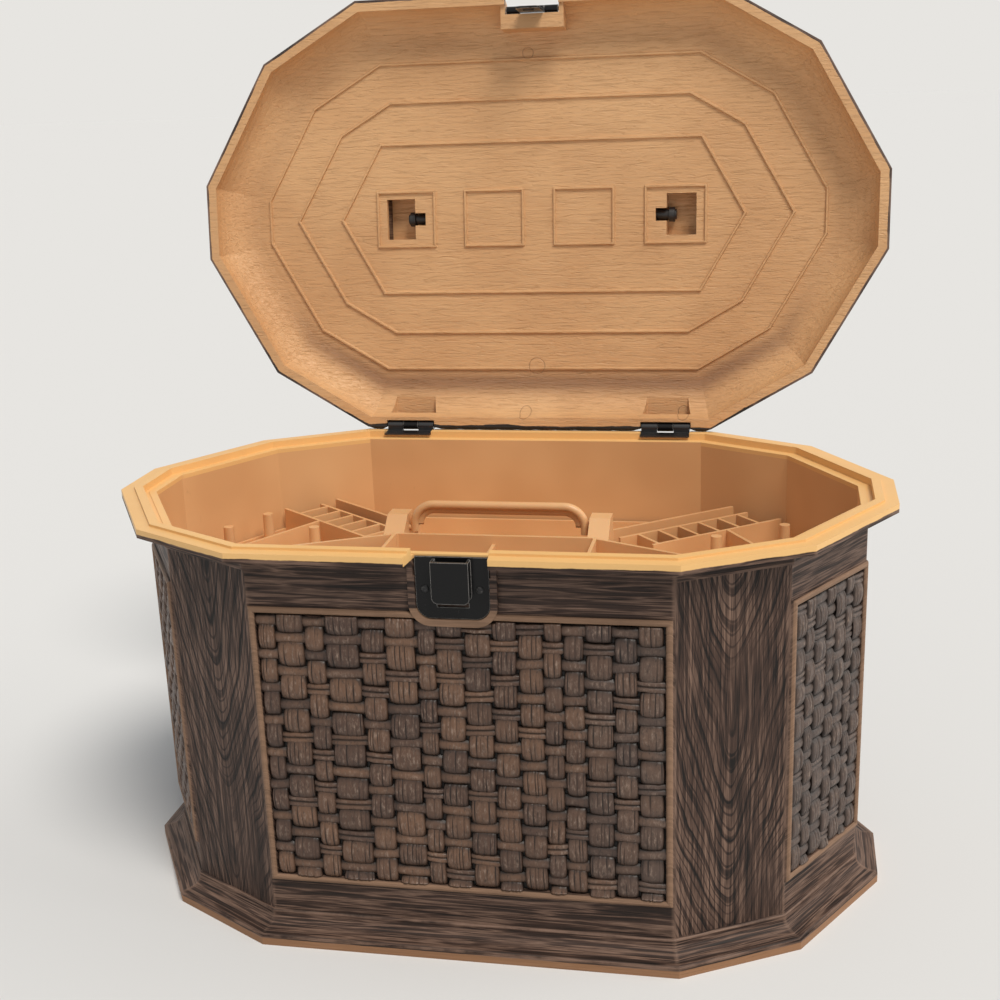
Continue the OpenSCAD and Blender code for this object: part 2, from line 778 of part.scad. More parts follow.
// The second ridge runs to a point at each end, and the third has six sides
function ridge2_quarter() =
  let (p = rim_w / 2 - ridge2_in, q = reach_slope - ridge2_in, r = reach_steep - ridge2_in)
  [[r / cos(30), 0],
   [(r * sin(60) - q * sin(30)) / sin(30), (q * cos(30) - r * cos(60)) / sin(30)],
   [(q - p * sin(60)) / cos(60), p]];
function ridge3_quarter() =
  let (p = rim_w / 2 - ridge3_in, r = reach_steep - ridge3_in)
  [[r / cos(30), 0], [(r - p * sin(30)) / cos(30), p]];
function mirrored(q) = concat(
  q,
  [for (k = [len(q) - 1 : -1 : 0]) if (q[k][1] > 0) [-q[k][0], q[k][1]]],
  [[-q[0][0], 0]],
  [for (k = [1 : len(q) - 1]) [-q[k][0], -q[k][1]]],
  [for (k = [len(q) - 1 : -1 : 1]) [q[k][0], -q[k][1]]]
);

function rect_points(x, w, h) = [
  [x - w / 2, -h / 2], [x + w / 2, -h / 2], [x + w / 2, h / 2], [x - w / 2, h / 2]
];

module handle_boss(s) {
  x0 = s > 0 ? boss_x : -boss_x - boss_l;
  translate([x0, -boss_w / 2, lid_top_z - 0.5]) cube([boss_l, boss_w, boss_h + 0.5]);
}
// Hollow of a handle boss, open to the lid's inside, with a slot towards the middle
module handle_pocket(s) {
  roof = lid_top_z + boss_h - boss_wall;
  x0 = s > 0 ? pocket_in_x : -pocket_end_x;
  x1 = s > 0 ? boss_x + boss_wall : -pocket_in_x - 1;
  translate([x0, -boss_w / 2 + boss_wall, lid_in_z - 2])
    cube([pocket_end_x - pocket_in_x, boss_w - 2 * boss_wall, roof - lid_in_z + 2]);
  translate([x1, -trunnion_r - 0.7, lid_in_z - 2])
    cube([pocket_in_x - boss_x - boss_wall + 1, 2 * trunnion_r + 1.4, roof - lid_in_z + 2]);
  translate([s * (boss_x + boss_wall / 2), 0, trunnion_z]) rotate([0, 90, 0])
    cylinder(r = trunnion_r + run, h = boss_wall + 2, center = true);
}

// The lid's rim, curved wall and flat middle, with the two blocks over the hinges
module lid_wall() {
  difference() {
    union() {
      sided_body(concat([[0, land_z], [0, pad_z]], cove(outer_start, lid_t)));
      for (s = [-1, 1]) hinge_block(s * hinge_x);
    }
    sided_body(concat([[lid_land, land_z - 1]], cove(0, 0)));
    for (s = [-1, 1]) hinge_hollow(s * hinge_x);
  }
}

// Room for a hinge's knuckles
module lid_hinge_cut(x) {
  translate([x - hinge_w / 2 - 2 * slip, axis_y - knuckle_r - 2 * slip, land_z - 1])
    cube([hinge_w + 4 * slip, 10, axis_z + knuckle_r + 2 * slip - land_z + 1]);
}
module blind_hole(x, y) {
  translate([x, y, groove_z + 0.4]) cylinder(r = rivet_r + run, h = lid_t);
}

module lid_shell() {
  color(tan_plastic)
    on_lid()
      difference() {
        union() {
          lid_wall();
          latch_pad(latch_pad_w);
          ridge_loop(outline(ridge_in));
          ridge_loop(mirrored(ridge2_quarter()));
          ridge_loop(mirrored(ridge3_quarter()));
          for (k = [-1.5 : 1 : 1.5]) ridge_loop(rect_points(k * square_step, square_l, square_w));
          for (s = [-1, 1]) handle_boss(s);
        }
        for (s = [-1, 1]) {
          lid_hinge_cut(s * hinge_x);
          leaf_holes(s * hinge_x);
          handle_pocket(s);
          blind_hole(s * latch_rivet_x, latch_rivet_y);
        }
        latch_pad_cut(latch_pad_w);
        // Notch that the latch tongue hangs through
        translate([-latch_plate_w / 2 - 2 * slip, -rim_w / 2 - 1, land_z - 1])
          cube([latch_plate_w + 4 * slip, latch_notch_in + 1, lid_t + 2]);
      }
}

// Latch on the lid

module latch_plate() {
  half = latch_plate_w / 2;
  color(black_steel)
    on_lid()
      difference() {
        union() {
          translate([-half, latch_y + latch_r + 0.5, pad_z]) cube([latch_plate_w, latch_leaf_l, leaf_t]);
          for (s = [-1, 1])
            translate([s * (half + latch_half) / 2 - (half - latch_half) / 2, latch_y, pad_z])
              cube([half - latch_half, latch_r + 1, leaf_t]);
          translate([0, latch_y, latch_z])
            knuckles([[-half, -latch_half], [latch_half, half]], latch_r, latch_pin_r + run);
        }
        translate([0, latch_y, latch_z]) rotate([0, 90, 0])
          cylinder(r = latch_pin_r + run, h = latch_plate_w + 2, center = true);
        for (s = [-1, 1])
          translate([s * latch_rivet_x, latch_rivet_y, pad_z - 1])
            cylinder(r = rivet_r + run, h = leaf_t + 2);
      }
}

module latch_plate_rivets() {
  color(black_steel)
    on_lid()
      for (s = [-1, 1])
        translate([s * latch_rivet_x, latch_rivet_y, pad_z + leaf_t]) rivet(leaf_t + pad_floor - 0.6);
}

module latch_pin() {
  color(black_steel)
    on_lid()
      translate([0, latch_y, latch_z]) rotate([0, 90, 0])
        cylinder(r = latch_pin_r, h = latch_plate_w + 2 * slip, center = true);
}

// The tongue hangs from the knuckles' back edge and ends in a small rolled lip
module latch_tongue() {
  half = tongue_w / 2;
  color(black_steel)
    on_lid()
      translate([0, latch_y, latch_z])
        difference() {
          union() {
            knuckles([[-half, half]], latch_r, latch_pin_r + run);
            translate([0, latch_r, 0]) rotate([90, 0, 0])
              linear_extrude(height = tongue_t) hanging_plate(tongue_w, tongue_l, 3);
            translate([-tongue_w / 4, latch_r - tongue_t / 2, -tongue_l + 6])
              rotate([0, 90, 0]) cylinder(r = tongue_t, h = tongue_w / 2);
          }
          rotate([0, 90, 0]) cylinder(r = latch_pin_r + run, h = tongue_w + 2, center = true);
        }
}

// Carrying handle, hanging plumb behind the open lid

module on_handle() {
  on_lid() translate([0, 0, trunnion_z]) rotate([lid_open - 90, 0, 0]) children();
}

// One leg with its trunnion and the bend that leads into the grip
module handle_leg(s) {
  translate([s * leg_x, 0, 0]) rotate([0, 90, 0]) cylinder(r = grip_t / 2, h = leg_w, center = true);
  translate([s * leg_x - leg_w / 2, 0, -grip_t / 2]) cube([leg_w, handle_reach - leg_bend, grip_t]);
  translate([s * grip_half, handle_reach - leg_bend, -grip_t / 2])
    intersection() {
      rotate_extrude() translate([leg_bend - leg_w, 0]) square([leg_w, grip_t]);
      translate([s > 0 ? 0 : -2 * leg_bend, 0, -1]) cube([2 * leg_bend, 2 * leg_bend, grip_t + 2]);
    }
  translate([s > 0 ? leg_x : -leg_x - trunnion_l, 0, 0])
    rotate([0, 90, 0]) cylinder(r = trunnion_r, h = trunnion_l);
}

module carry_handle() {
  color(black_plastic)
    on_handle() {
      for (s = [-1, 1]) handle_leg(s);
      translate([0, handle_reach + grip_offset, 0]) rotate([0, 90, 0])
        linear_extrude(height = 2 * grip_half + 0.4, center = true)
          translate([-grip_t / 2, -leg_w / 2]) square([grip_t, leg_w]);
      // The grip is wider than the bar that carries it, with round edges
      translate([0, handle_reach + grip_offset, 0]) rotate([0, 90, 0])
        linear_extrude(height = 2 * grip_half - 2 * leg_w, center = true) {
          translate([-grip_t / 2, -(grip_w - grip_t) / 2]) square([grip_t, grip_w - grip_t]);
          for (s = [-1, 1]) translate([0, s * (grip_w - grip_t) / 2]) circle(grip_t / 2);
        }
    }
}

// Push-on caps that keep the handle's trunnions in their bosses
module handle_cap(s) {
  x0 = s > 0 ? pocket_in_x + 1 : -pocket_in_x - 1 - cap_l;
  color(black_plastic)
    on_handle()
      translate([x0, 0, 0]) rotate([0, 90, 0])
        difference() {
          cylinder(r = trunnion_r + 1.3, h = cap_l);
          translate([0, 0, -1]) cylinder(r = trunnion_r + 0.02, h = cap_l + 2);
        }
}
module left_handle_cap() { handle_cap(-1); }
module right_handle_cap() { handle_cap(1); }

// Tray

// A wall tray_t thick standing on the tray's floor, from a to b, up to z
module tray_wall(a, b, z) {
  d = b - a;
  translate([a[0], a[1], tray_floor]) rotate([0, 0, atan2(d[1], d[0])])
    translate([0, -tray_t / 2, 0]) cube([norm(d), tray_t, z - tray_floor]);
}
// A point of the right half of the tray, on side s
function on_half(s, p) = [s * p[0], p[1]];
// Point along a ladder on side s: along it, and across it towards the back
function ladder_point(s, along, across) = [
  s * (along * cos(ladder_turn) + across * sin(ladder_turn)),
  along * sin(ladder_turn) - across * cos(ladder_turn)
];

// A bobbin ladder: two rails with rungs
module ladder(s) {
  first = ladder_start + 12;
  tray_wall(
    ladder_point(s, first - 4, ladder_near), ladder_point(s, ladder_end, ladder_near), ladder_top);
  tray_wall(
    ladder_point(s, ladder_start, ladder_mid), ladder_point(s, ladder_end, ladder_mid), ladder_top);
  for (k = [0 : cells - 1])
    tray_wall(
      ladder_point(s, first + k * cell_l, ladder_mid),
      ladder_point(s, first + k * cell_l, ladder_near), ladder_top);
}

module peg(p) {
  translate([p[0], p[1], tray_z + 0.2]) cylinder(r1 = peg_r + 0.3, r2 = peg_r - 0.3, h = peg_h - 0.2);
}

// Divider from the long middle wall to the tray's front: high for a length of l, then sloping down
module divider(x, top, l) {
  front = rim_w / 2 - tray_in - 1;
  translate([x, 0, 0]) rotate([90, 0, 90])
    linear_extrude(height = tray_t, center = true)
      polygon([
        [-middle_y, tray_floor], [-middle_y, top], [-middle_y - l, top],
        [-front, tray_z + tray_h], [-front, tray_floor]
      ]);
}

// The long middle wall with its two slanted wings and the dividers in front of it
module middle_walls() {
  half = middle_l / 2;
  for (s = [-1, 1]) {
    tray_wall([s * (half - 2), -middle_y], on_half(s, wing_end), middle_top);
    divider(s * half, middle_top, divider_l);
  }
  divider(0, middle_top - mid_divider_drop, mid_divider_l);
  translate([-half, -middle_y - tray_t / 2, tray_floor]) cube([2 * half, tray_t, middle_h - tray_t]);
}

// Buttress that carries one end of the tray's handle
module tray_boss(s) {
  x0 = s > 0 ? tray_grip_x + 0.6 : -tray_grip_x - 0.6 - tray_boss_w;
  translate([x0, 0, 0]) rotate([90, 0, 90])
    linear_extrude(height = tray_boss_w)
      polygon([
        [-middle_y, tray_floor], [-middle_y, middle_top - 2], [-3.5, tray_boss_top],
        [6.5, tray_boss_top], [9, middle_top - 6], [9, tray_floor]
      ]);
}

// Cuts its children back to the room inside the tray's rim
module in_tray() {
  intersection() {
    children();
    slab(tray_in + tray_t, tray_z, tray_boss_top + 1);
  }
}

// The walls behind the bobbin ladders and behind the tray's handle
module rear_walls() {
  root = 0.5;
  translate([0, 0, -root]) {
    for (s = [-1, 1])
      tray_wall(
        ladder_point(s, ladder_start, ladder_far), ladder_point(s, ladder_end, ladder_far),
        ladder_top + 2 + root);
    tray_wall([-middle_l / 2, rear_wall_y], [middle_l / 2, rear_wall_y], ladder_top + root);
  }
}

// The tray's floor, its rear walls and its spool pegs
module tray() {
  color(tan_plastic) {
    slab(tray_in, tray_z, tray_floor);
    in_tray() rear_walls();
    for (s = [-1, 1], p = concat(pegs, front_pegs)) peg(on_half(s, p));
  }
}

// The low rim round the tray's floor
module tray_rim() {
  color(tan_plastic) ring(tray_in, tray_in + tray_t, tray_floor, tray_z + tray_h);
}

// The walls and handle buttresses in the middle of the tray
module tray_middle() {
  color(tan_plastic)
    difference() {
      union() {
        in_tray() middle_walls();
        for (s = [-1, 1]) tray_boss(s);
      }
      for (s = [-1, 1])
        translate([s * (tray_grip_x + 4), 0, grip_pivot_z]) rotate([0, 90, 0])
          cylinder(r = grip_stub_r + run, h = 8, center = true);
    }
}

// One bobbin ladder with the walls that part the spool bays beside it
module bobbin_rack(s) {
  color(tan_plastic)
    in_tray() {
      ladder(s);
      tray_wall(on_half(s, slant_wall[0]), on_half(s, slant_wall[1]), ladder_top);
      tray_wall([s * (slant_wall[1][0] - 1), end_wall_y], [s * end_wall_x, end_wall_y], ladder_top - 1);
    }
}
module left_bobbin_rack() { bobbin_rack(-1); }
module right_bobbin_rack() { bobbin_rack(1); }

// A bar bent to a long hoop, standing on two stubs that turn in the tray's buttresses
module tray_handle() {
  x = tray_grip_x - tray_grip_r;
  top = tray_grip_h - tray_grip_r;
  below = 2;
  stub_l = 6.4;
  color(tan_plastic)
    translate([0, 0, grip_pivot_z]) {
      translate([0, 0, top]) rotate([0, 90, 0])
        cylinder(r = tray_grip_r, h = 2 * (x - grip_bend), center = true);
      for (s = [-1, 1]) {
        translate([s * (x - grip_bend), 0, top - grip_bend]) rotate([90, 0, 0])
          rotate([0, 0, s > 0 ? 0 : 90])
            rotate_extrude(angle = 90) translate([grip_bend, 0]) circle(tray_grip_r);
        translate([s * x, 0, -below]) cylinder(r = tray_grip_r, h = top - grip_bend + below);
        translate([s * (x + stub_l / 2), 0, 0]) rotate([0, 90, 0])
          cylinder(r = grip_stub_r, h = stub_l, center = true);
      }
    }
}

box_shell();
front_weave_panel();
rear_weave_panel();
right_front_weave_panel();
right_rear_weave_panel();
left_front_weave_panel();
left_rear_weave_panel();
latch_keeper();
keeper_rivets();
left_hinge_box_leaf();
right_hinge_box_leaf();
left_hinge_lid_leaf();
right_hinge_lid_leaf();
left_hinge_pin();
right_hinge_pin();
hinge_box_rivets();
hinge_lid_rivets();
lid_shell();
latch_plate();
latch_plate_rivets();
latch_pin();
latch_tongue();
carry_handle();
left_handle_cap();
right_handle_cap();
tray();
tray_rim();
tray_middle();
left_bobbin_rack();
right_bobbin_rack();
tray_handle();
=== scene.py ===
"""Looks of a moulded sewing box: woven panels, painted wood grain, tan plastic and black hardware.

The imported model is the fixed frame. This script gives its nodes their finishes, replaces the
plain woven panels with fuller ones, and sets up the floor, the light and the camera. Lengths
are in metres.
"""

from __future__ import annotations

import json
import logging
import math
import random
from dataclasses import dataclass, field
from enum import Enum
from typing import Any, Iterable, Sequence

import bpy
from mathutils import Matrix, Vector

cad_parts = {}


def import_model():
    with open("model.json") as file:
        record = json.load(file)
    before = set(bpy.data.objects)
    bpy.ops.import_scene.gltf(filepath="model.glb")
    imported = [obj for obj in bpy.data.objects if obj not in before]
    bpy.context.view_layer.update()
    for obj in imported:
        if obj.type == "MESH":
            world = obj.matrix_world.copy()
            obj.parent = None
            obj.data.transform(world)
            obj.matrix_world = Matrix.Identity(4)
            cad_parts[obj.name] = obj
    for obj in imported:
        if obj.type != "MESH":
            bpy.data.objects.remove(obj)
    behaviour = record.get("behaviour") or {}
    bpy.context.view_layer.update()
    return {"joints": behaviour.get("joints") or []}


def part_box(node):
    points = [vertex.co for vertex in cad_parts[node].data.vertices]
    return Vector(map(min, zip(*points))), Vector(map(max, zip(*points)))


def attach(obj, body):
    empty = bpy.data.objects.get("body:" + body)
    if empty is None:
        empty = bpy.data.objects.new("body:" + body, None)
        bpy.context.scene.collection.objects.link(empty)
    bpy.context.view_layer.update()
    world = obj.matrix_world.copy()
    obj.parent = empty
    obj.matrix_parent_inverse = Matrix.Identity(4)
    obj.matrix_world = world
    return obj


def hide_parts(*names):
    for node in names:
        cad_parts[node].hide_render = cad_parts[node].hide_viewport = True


LOG = logging.getLogger("sewing_box")
MM = 0.001
Colour = tuple[float, float, float]


class Side(Enum):
    """The six panelled sides of the plan, by the step of 30 degrees that they face."""

    RIGHT_REAR = 1
    REAR = 3
    LEFT_REAR = 5
    LEFT_FRONT = 7
    FRONT = 9
    RIGHT_FRONT = 11

    @property
    def node(self) -> str:
        """Name of the CAD node that holds this side's panel."""
        return f"{self.name.lower()}_weave_panel"

    @property
    def is_long(self) -> bool:
        """True for the two long sides."""
        return self in (Side.FRONT, Side.REAR)


@dataclass(frozen=True)
class Plan:
    """The twelve-sided plan of the box's rim flange.

    half_length and half_depth come from the frame; the two straight lengths are the real ones.
    wall_in and cavity_in are how far the wall's outer and inner faces lie in from the flange.
    """

    half_length: float
    half_depth: float
    long_side: float = 210 * MM
    end_side: float = 44 * MM
    wall_in: float = 14.2 * MM
    cavity_in: float = 18 * MM
    turn: float = math.radians(30)
    sides: int = 12
    greatest_depth: float = 125.3 * MM

    @classmethod
    def from_frame(cls) -> "Plan":
        """Reads the flange's two half sizes off the box shell."""
        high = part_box("box_shell")[1]
        return cls(half_length=high.x, half_depth=min(high.y, cls.greatest_depth))

    @property
    def reaches(self) -> tuple[float, float, float, float]:
        """Distances from the middle to the sides that face 0, 30, 60 and 90 degrees."""
        steep = self.half_length * math.cos(self.turn) + self.end_side / 2 * math.sin(self.turn)
        slope = self.long_side / 2 * math.sin(self.turn) + self.half_depth * math.cos(self.turn)
        return self.half_length, steep, slope, self.half_depth

    def reach(self, index: int) -> float:
        """Distance from the middle to side index of the flange."""
        step = index % (self.sides // 2)
        return self.reaches[min(step, self.sides // 2 - step)]

    def corner(self, index: int, inset: float) -> Vector:
        """Corner between sides index and index + 1.

        Args:
            index: The lower side's step of 30 degrees.
            inset: Distance in from the flange's edge.

        Returns:
            The corner as a flat vector.
        """
        a, b = self.turn * index, self.turn * (index + 1)
        p, q = self.reach(index) - inset, self.reach(index + 1) - inset
        across = math.sin(self.turn)
        return Vector((
            (p * math.sin(b) - q * math.sin(a)) / across,
            (q * math.cos(a) - p * math.cos(b)) / across,
        ))

    def side_matrix(self, side: Side, inset: float) -> Matrix:
        """Where a side's own axes lie: X along it, Y into the box and Z up, from its middle.

        Args:
            side: Which side.
            inset: Distance in from the flange's edge.

        Returns:
            The matrix from the side's axes to the frame.
        """
        index = side.value
        middle = (self.corner(index, inset) + self.corner(index - 1, inset)) / 2
        angle = self.turn * index + math.pi / 2
        return Matrix.Translation((middle.x, middle.y, 0)) @ Matrix.Rotation(angle, 4, "Z")


class Value:
    """A number that varies over a surface; arithmetic on it adds Math nodes."""

    def __init__(self, nodes: "Nodes", socket: bpy.types.NodeSocket) -> None:
        """Wraps one output socket of a node tree."""
        self.nodes = nodes
        self.socket = socket

    def sister(self, name: int | str) -> "Value":
        """Another output of the same node."""
        return Value(self.nodes, self.socket.node.outputs[name])

    def _math(self, operation: str, *operands: Any) -> "Value":
        """Adds one Math node.

        Args:
            operation: Blender's name for the operation.
            *operands: Numbers or values, in the node's order.

        Returns:
            The node's result.
        """
        inputs = dict(enumerate(operands))
        return self.nodes.add("ShaderNodeMath", {"operation": operation}, inputs)

    def __add__(self, other: Any) -> "Value":
        """Sum."""
        return self._math("ADD", self, other)

    __radd__ = __add__

    def __sub__(self, other: Any) -> "Value":
        """Difference."""
        return self._math("SUBTRACT", self, other)

    def __rsub__(self, other: Any) -> "Value":
        """Difference, reflected."""
        return self._math("SUBTRACT", other, self)

    def __mul__(self, other: Any) -> "Value":
        """Product."""
        return self._math("MULTIPLY", self, other)

    __rmul__ = __mul__

    def __pow__(self, other: Any) -> "Value":
        """Power."""
        return self._math("POWER", self, other)

    def __abs__(self) -> "Value":
        """Size without its sign."""
        return self._math("ABSOLUTE", self)

    def __lt__(self, other: Any) -> "Value":
        """1 where it is less than other, else 0."""
        return self._math("LESS_THAN", self, other)

    def __gt__(self, other: Any) -> "Value":
        """1 where it is greater than other, else 0."""
        return self._math("GREATER_THAN", self, other)

    def least(self, other: Any) -> "Value":
        """The lesser of the two."""
        return self._math("MINIMUM", self, other)

    def most(self, other: Any) -> "Value":
        """The greater of the two."""
        return self._math("MAXIMUM", self, other)

    def sine(self) -> "Value":
        """Sine of the value in radians."""
        return self._math("SINE", self)

    def rise(self, low: float, high: float) -> "Value":
        """Smooth step.

        Args:
            low: Where the step starts at 0.
            high: Where it reaches 1; it may be less than low for a falling step.

        Returns:
            A value from 0 to 1.
        """
        settings = {"interpolation_type": "SMOOTHSTEP"}
        if low < high:
            ends = {1: low, 2: high, 3: 0.0, 4: 1.0}
        else:
            ends = {1: high, 2: low, 3: 1.0, 4: 0.0}
        return self.nodes.add("ShaderNodeMapRange", settings, {0: self, **ends})

    def line(self, middle: float, half: float) -> "Value":
        """1 at middle, falling smoothly to 0 at half to either side."""
        return abs(self - middle).rise(half, 0.0)


class Nodes:
    """A node tree that is being written."""

    def __init__(self, tree: bpy.types.NodeTree) -> None:
        """Starts with the tree empty."""
        self.tree = tree
        tree.nodes.clear()

    def add(
        self,
        kind: str,
        settings: dict[str, Any] | None = None,
        inputs: dict[Any, Any] | None = None,
        output: int | str = 0,
    ) -> Value:
        """Adds a node.

        Args:
            kind: The node's type.
            settings: Properties to set before its sockets; "stops" fills a colour ramp.
            inputs: Values or links by the socket's name or number.
            output: Which output to give back.

        Returns:
            The wrapped output socket.
        """
        node = self.tree.nodes.new(kind)
        for key, value in (settings or {}).items():
            if key == "stops":
                self._fill_ramp(node.color_ramp, value)
            else:
                setattr(node, key, value)
        for key, value in (inputs or {}).items():
            self.join(value, node.inputs[key])
        return Value(self, node.outputs[output] if node.outputs else None)

    @staticmethod
    def _fill_ramp(ramp: bpy.types.ColorRamp, stops: Sequence[tuple[float, Colour]]) -> None:
        """Sets a colour ramp's stops.

        Args:
            ramp: The ramp.
            stops: The place, from 0 to 1, and the colour of each stop.
        """
        while len(ramp.elements) < len(stops):
            ramp.elements.new(0.5)
        for element, (place, colour) in zip(ramp.elements, stops):
            element.position = place
            element.color = (*colour, 1)

    def join(self, value: Any, socket: bpy.types.NodeSocket) -> None:
        """Links or sets an input socket.

        Args:
            value: A value to link, or a number, vector or colour to set.
            socket: The input socket.
        """
        if isinstance(value, Value):
            self.tree.links.new(value.socket, socket)
        elif isinstance(value, (tuple, list)) and socket.type == "RGBA" and len(value) == 3:
            socket.default_value = (*value, 1)
        else:
            socket.default_value = value

    def place(self) -> Value:
        """The point on the object, in the frame at rest."""
        return self.add("ShaderNodeTexCoord", output="Object")

    def parts(self, vector: Value) -> tuple[Value, Value, Value]:
        """A vector's three parts."""
        first = self.add("ShaderNodeSeparateXYZ", inputs={0: vector})
        return first, first.sister(1), first.sister(2)

    def stretched(self, vector: Value, scale: tuple[float, float, float]) -> Value:
        """A vector times a scale for each axis."""
        return self.add("ShaderNodeVectorMath", {"operation": "MULTIPLY"}, {0: vector, 1: scale})

    def point(self, x: Value, y: Value, z: Value) -> Value:
        """A vector made of three parts."""
        return self.add("ShaderNodeCombineXYZ", inputs={0: x, 1: y, 2: z})

    def noise(
        self, vector: Value, scale: tuple[float, float, float],
        detail: float = 3, rough: float = 0.55, warp: float = 0,
    ) -> Value:
        """Smooth noise.

        Args:
            vector: The point on the object.
            scale: Features in each metre, along each axis.
            detail: How many finer layers are added.
            rough: Strength of each finer layer next to the one before.
            warp: How far the pattern is dragged about.

        Returns:
            A value from 0 to 1.
        """
        inputs = {"Scale": 1.0, "Detail": detail, "Roughness": rough, "Distortion": warp}
        return self.add("ShaderNodeTexNoise", inputs={"Vector": self.stretched(vector, scale), **inputs})

    def blend(self, share: Any, low: Any, high: Any) -> Value:
        """Mixes two colours.

        Args:
            share: 0 gives low and 1 gives high.
            low: A colour or a link to one.
            high: A colour or a link to one.

        Returns:
            The mixed colour.
        """
        ends = {"Factor": share, 6: low, 7: high}
        return self.add("ShaderNodeMix", {"data_type": "RGBA"}, ends, output=2)

    def attribute(self, name: str) -> Value:
        """A number stored on the mesh's points."""
        return self.add("ShaderNodeAttribute", {"attribute_name": name}, output="Fac")

    def edges(self, radius: float) -> Value:
        """Finds sharp edges.

        Args:
            radius: About how far from an edge its mark fades out.

        Returns:
            1 along the edges, 0 on flat parts.
        """
        rounded = self.add("ShaderNodeBevel", {"samples": 6}, {"Radius": radius})
        flat = self.add("ShaderNodeNewGeometry", output="Normal")
        dot = {"operation": "DOT_PRODUCT"}
        same = self.add("ShaderNodeVectorMath", dot, {0: rounded, 1: flat}, "Value")
        return (1 - same).rise(0.015, 0.12)


class Shader(Nodes):
    """One material with a Principled surface."""

    def __init__(self, name: str) -> None:
        """Makes the material.

        Args:
            name: The material's name.
        """
        self.material = bpy.data.materials.new(name)
        self.material.use_nodes = True
        super().__init__(self.material.node_tree)
        shading = self.add("ShaderNodeBsdfPrincipled")
        self.surface = shading.socket.node
        self.add("ShaderNodeOutputMaterial", inputs={0: shading})

    def normal(self, height: Value, depth: float, rounding: float = 0) -> None:
        """Raises the surface by a height and rounds its edges.

        Args:
            height: From 0 to 1.
            depth: What 1 stands for, in metres.
            rounding: Radius of the rounding of sharp edges, or 0 for none.
        """
        inputs = {"Height": height, "Distance": depth, "Strength": 1.0}
        if rounding:
            inputs["Normal"] = self.add("ShaderNodeBevel", {"samples": 4}, {"Radius": rounding})
        self.set(Normal=self.add("ShaderNodeBump", inputs=inputs))

    def set(self, **inputs: Any) -> None:
        """Sets or links the surface's own sockets, with _ for a space in their names."""
        for name, value in inputs.items():
            self.join(value, self.surface.inputs[name.replace("_", " ")])


def inset_of(plan: Plan, x: Value, y: Value) -> tuple[Value, Value, Value]:
    """How far in from the flange's edge a point lies.

    Args:
        plan: The box's plan.
        x: Place along the box.
        y: Place across the box.

    Returns:
        The inset from the panelled sides' planes, from the plain sides' planes, and the lesser.
    """
    across, along = abs(y), abs(x)
    end, steep, slope, rear = plan.reaches
    cos, sin = math.cos(plan.turn), math.sin(plan.turn)
    panelled = (rear - across).least(steep - (along * cos + across * sin))
    plain = (end - along).least(slope - (along * sin + across * cos))
    return panelled, plain, panelled.least(plain)


@dataclass(frozen=True)
class TanPlastic:
    """Tan moulded plastic, satin, with small dark specks and scuffs, and a lighter, yellower colour
    painted on the flange as a highlight.
    """

    light: Colour = (0.76, 0.45, 0.215)
    dark: Colour = (0.66, 0.365, 0.165)
    flange_highlight: Colour = (0.86, 0.53, 0.205)
    stain_and_shade: Colour = (0.30, 0.15, 0.07)
    roughness: float = 0.42

    def colour(self, shader: Shader, place: Value) -> Value:
        """Mottles the plastic and scatters specks and scuffs over it.

        Args:
            shader: The material being made.
            place: The point on the object.

        Returns:
            The colour over the surface.
        """
        broad = shader.noise(place, (14, 14, 14), detail=2)
        base = shader.blend(broad.rise(0.3, 0.7), self.dark, self.light)
        spots = shader.noise(place, (260, 260, 260), detail=4, rough=0.7)
        scuffs = shader.noise(place, (420, 60, 90), detail=4, rough=0.7)
        marks = spots.rise(0.70, 0.80) * 0.35 + scuffs.rise(0.66, 0.78) * 0.18
        return shader.blend(marks, base, self.stain_and_shade)

    def gloss(self, shader: Shader, place: Value) -> Value:
        """The plastic's roughness over the surface."""
        return shader.noise(place, (60, 60, 60)) * 0.16 + (self.roughness - 0.08)

    def material(self, name: str = "tan_plastic") -> bpy.types.Material:
        """Makes the material for pieces that are tan all over.

        Args:
            name: The material's name.

        Returns:
            The material.
        """
        shader = Shader(name)
        place = shader.place()
        shader.set(Base_Color=self.colour(shader, place), Roughness=self.gloss(shader, place))
        shader.set(Subsurface_Weight=0.12, Subsurface_Radius=(1.0, 0.45, 0.2), Subsurface_Scale=2 * MM)
        fine = shader.noise(place, (900, 900, 900), detail=2)
        shader.normal(fine, 0.03 * MM, rounding=0.35 * MM)
        return shader.material


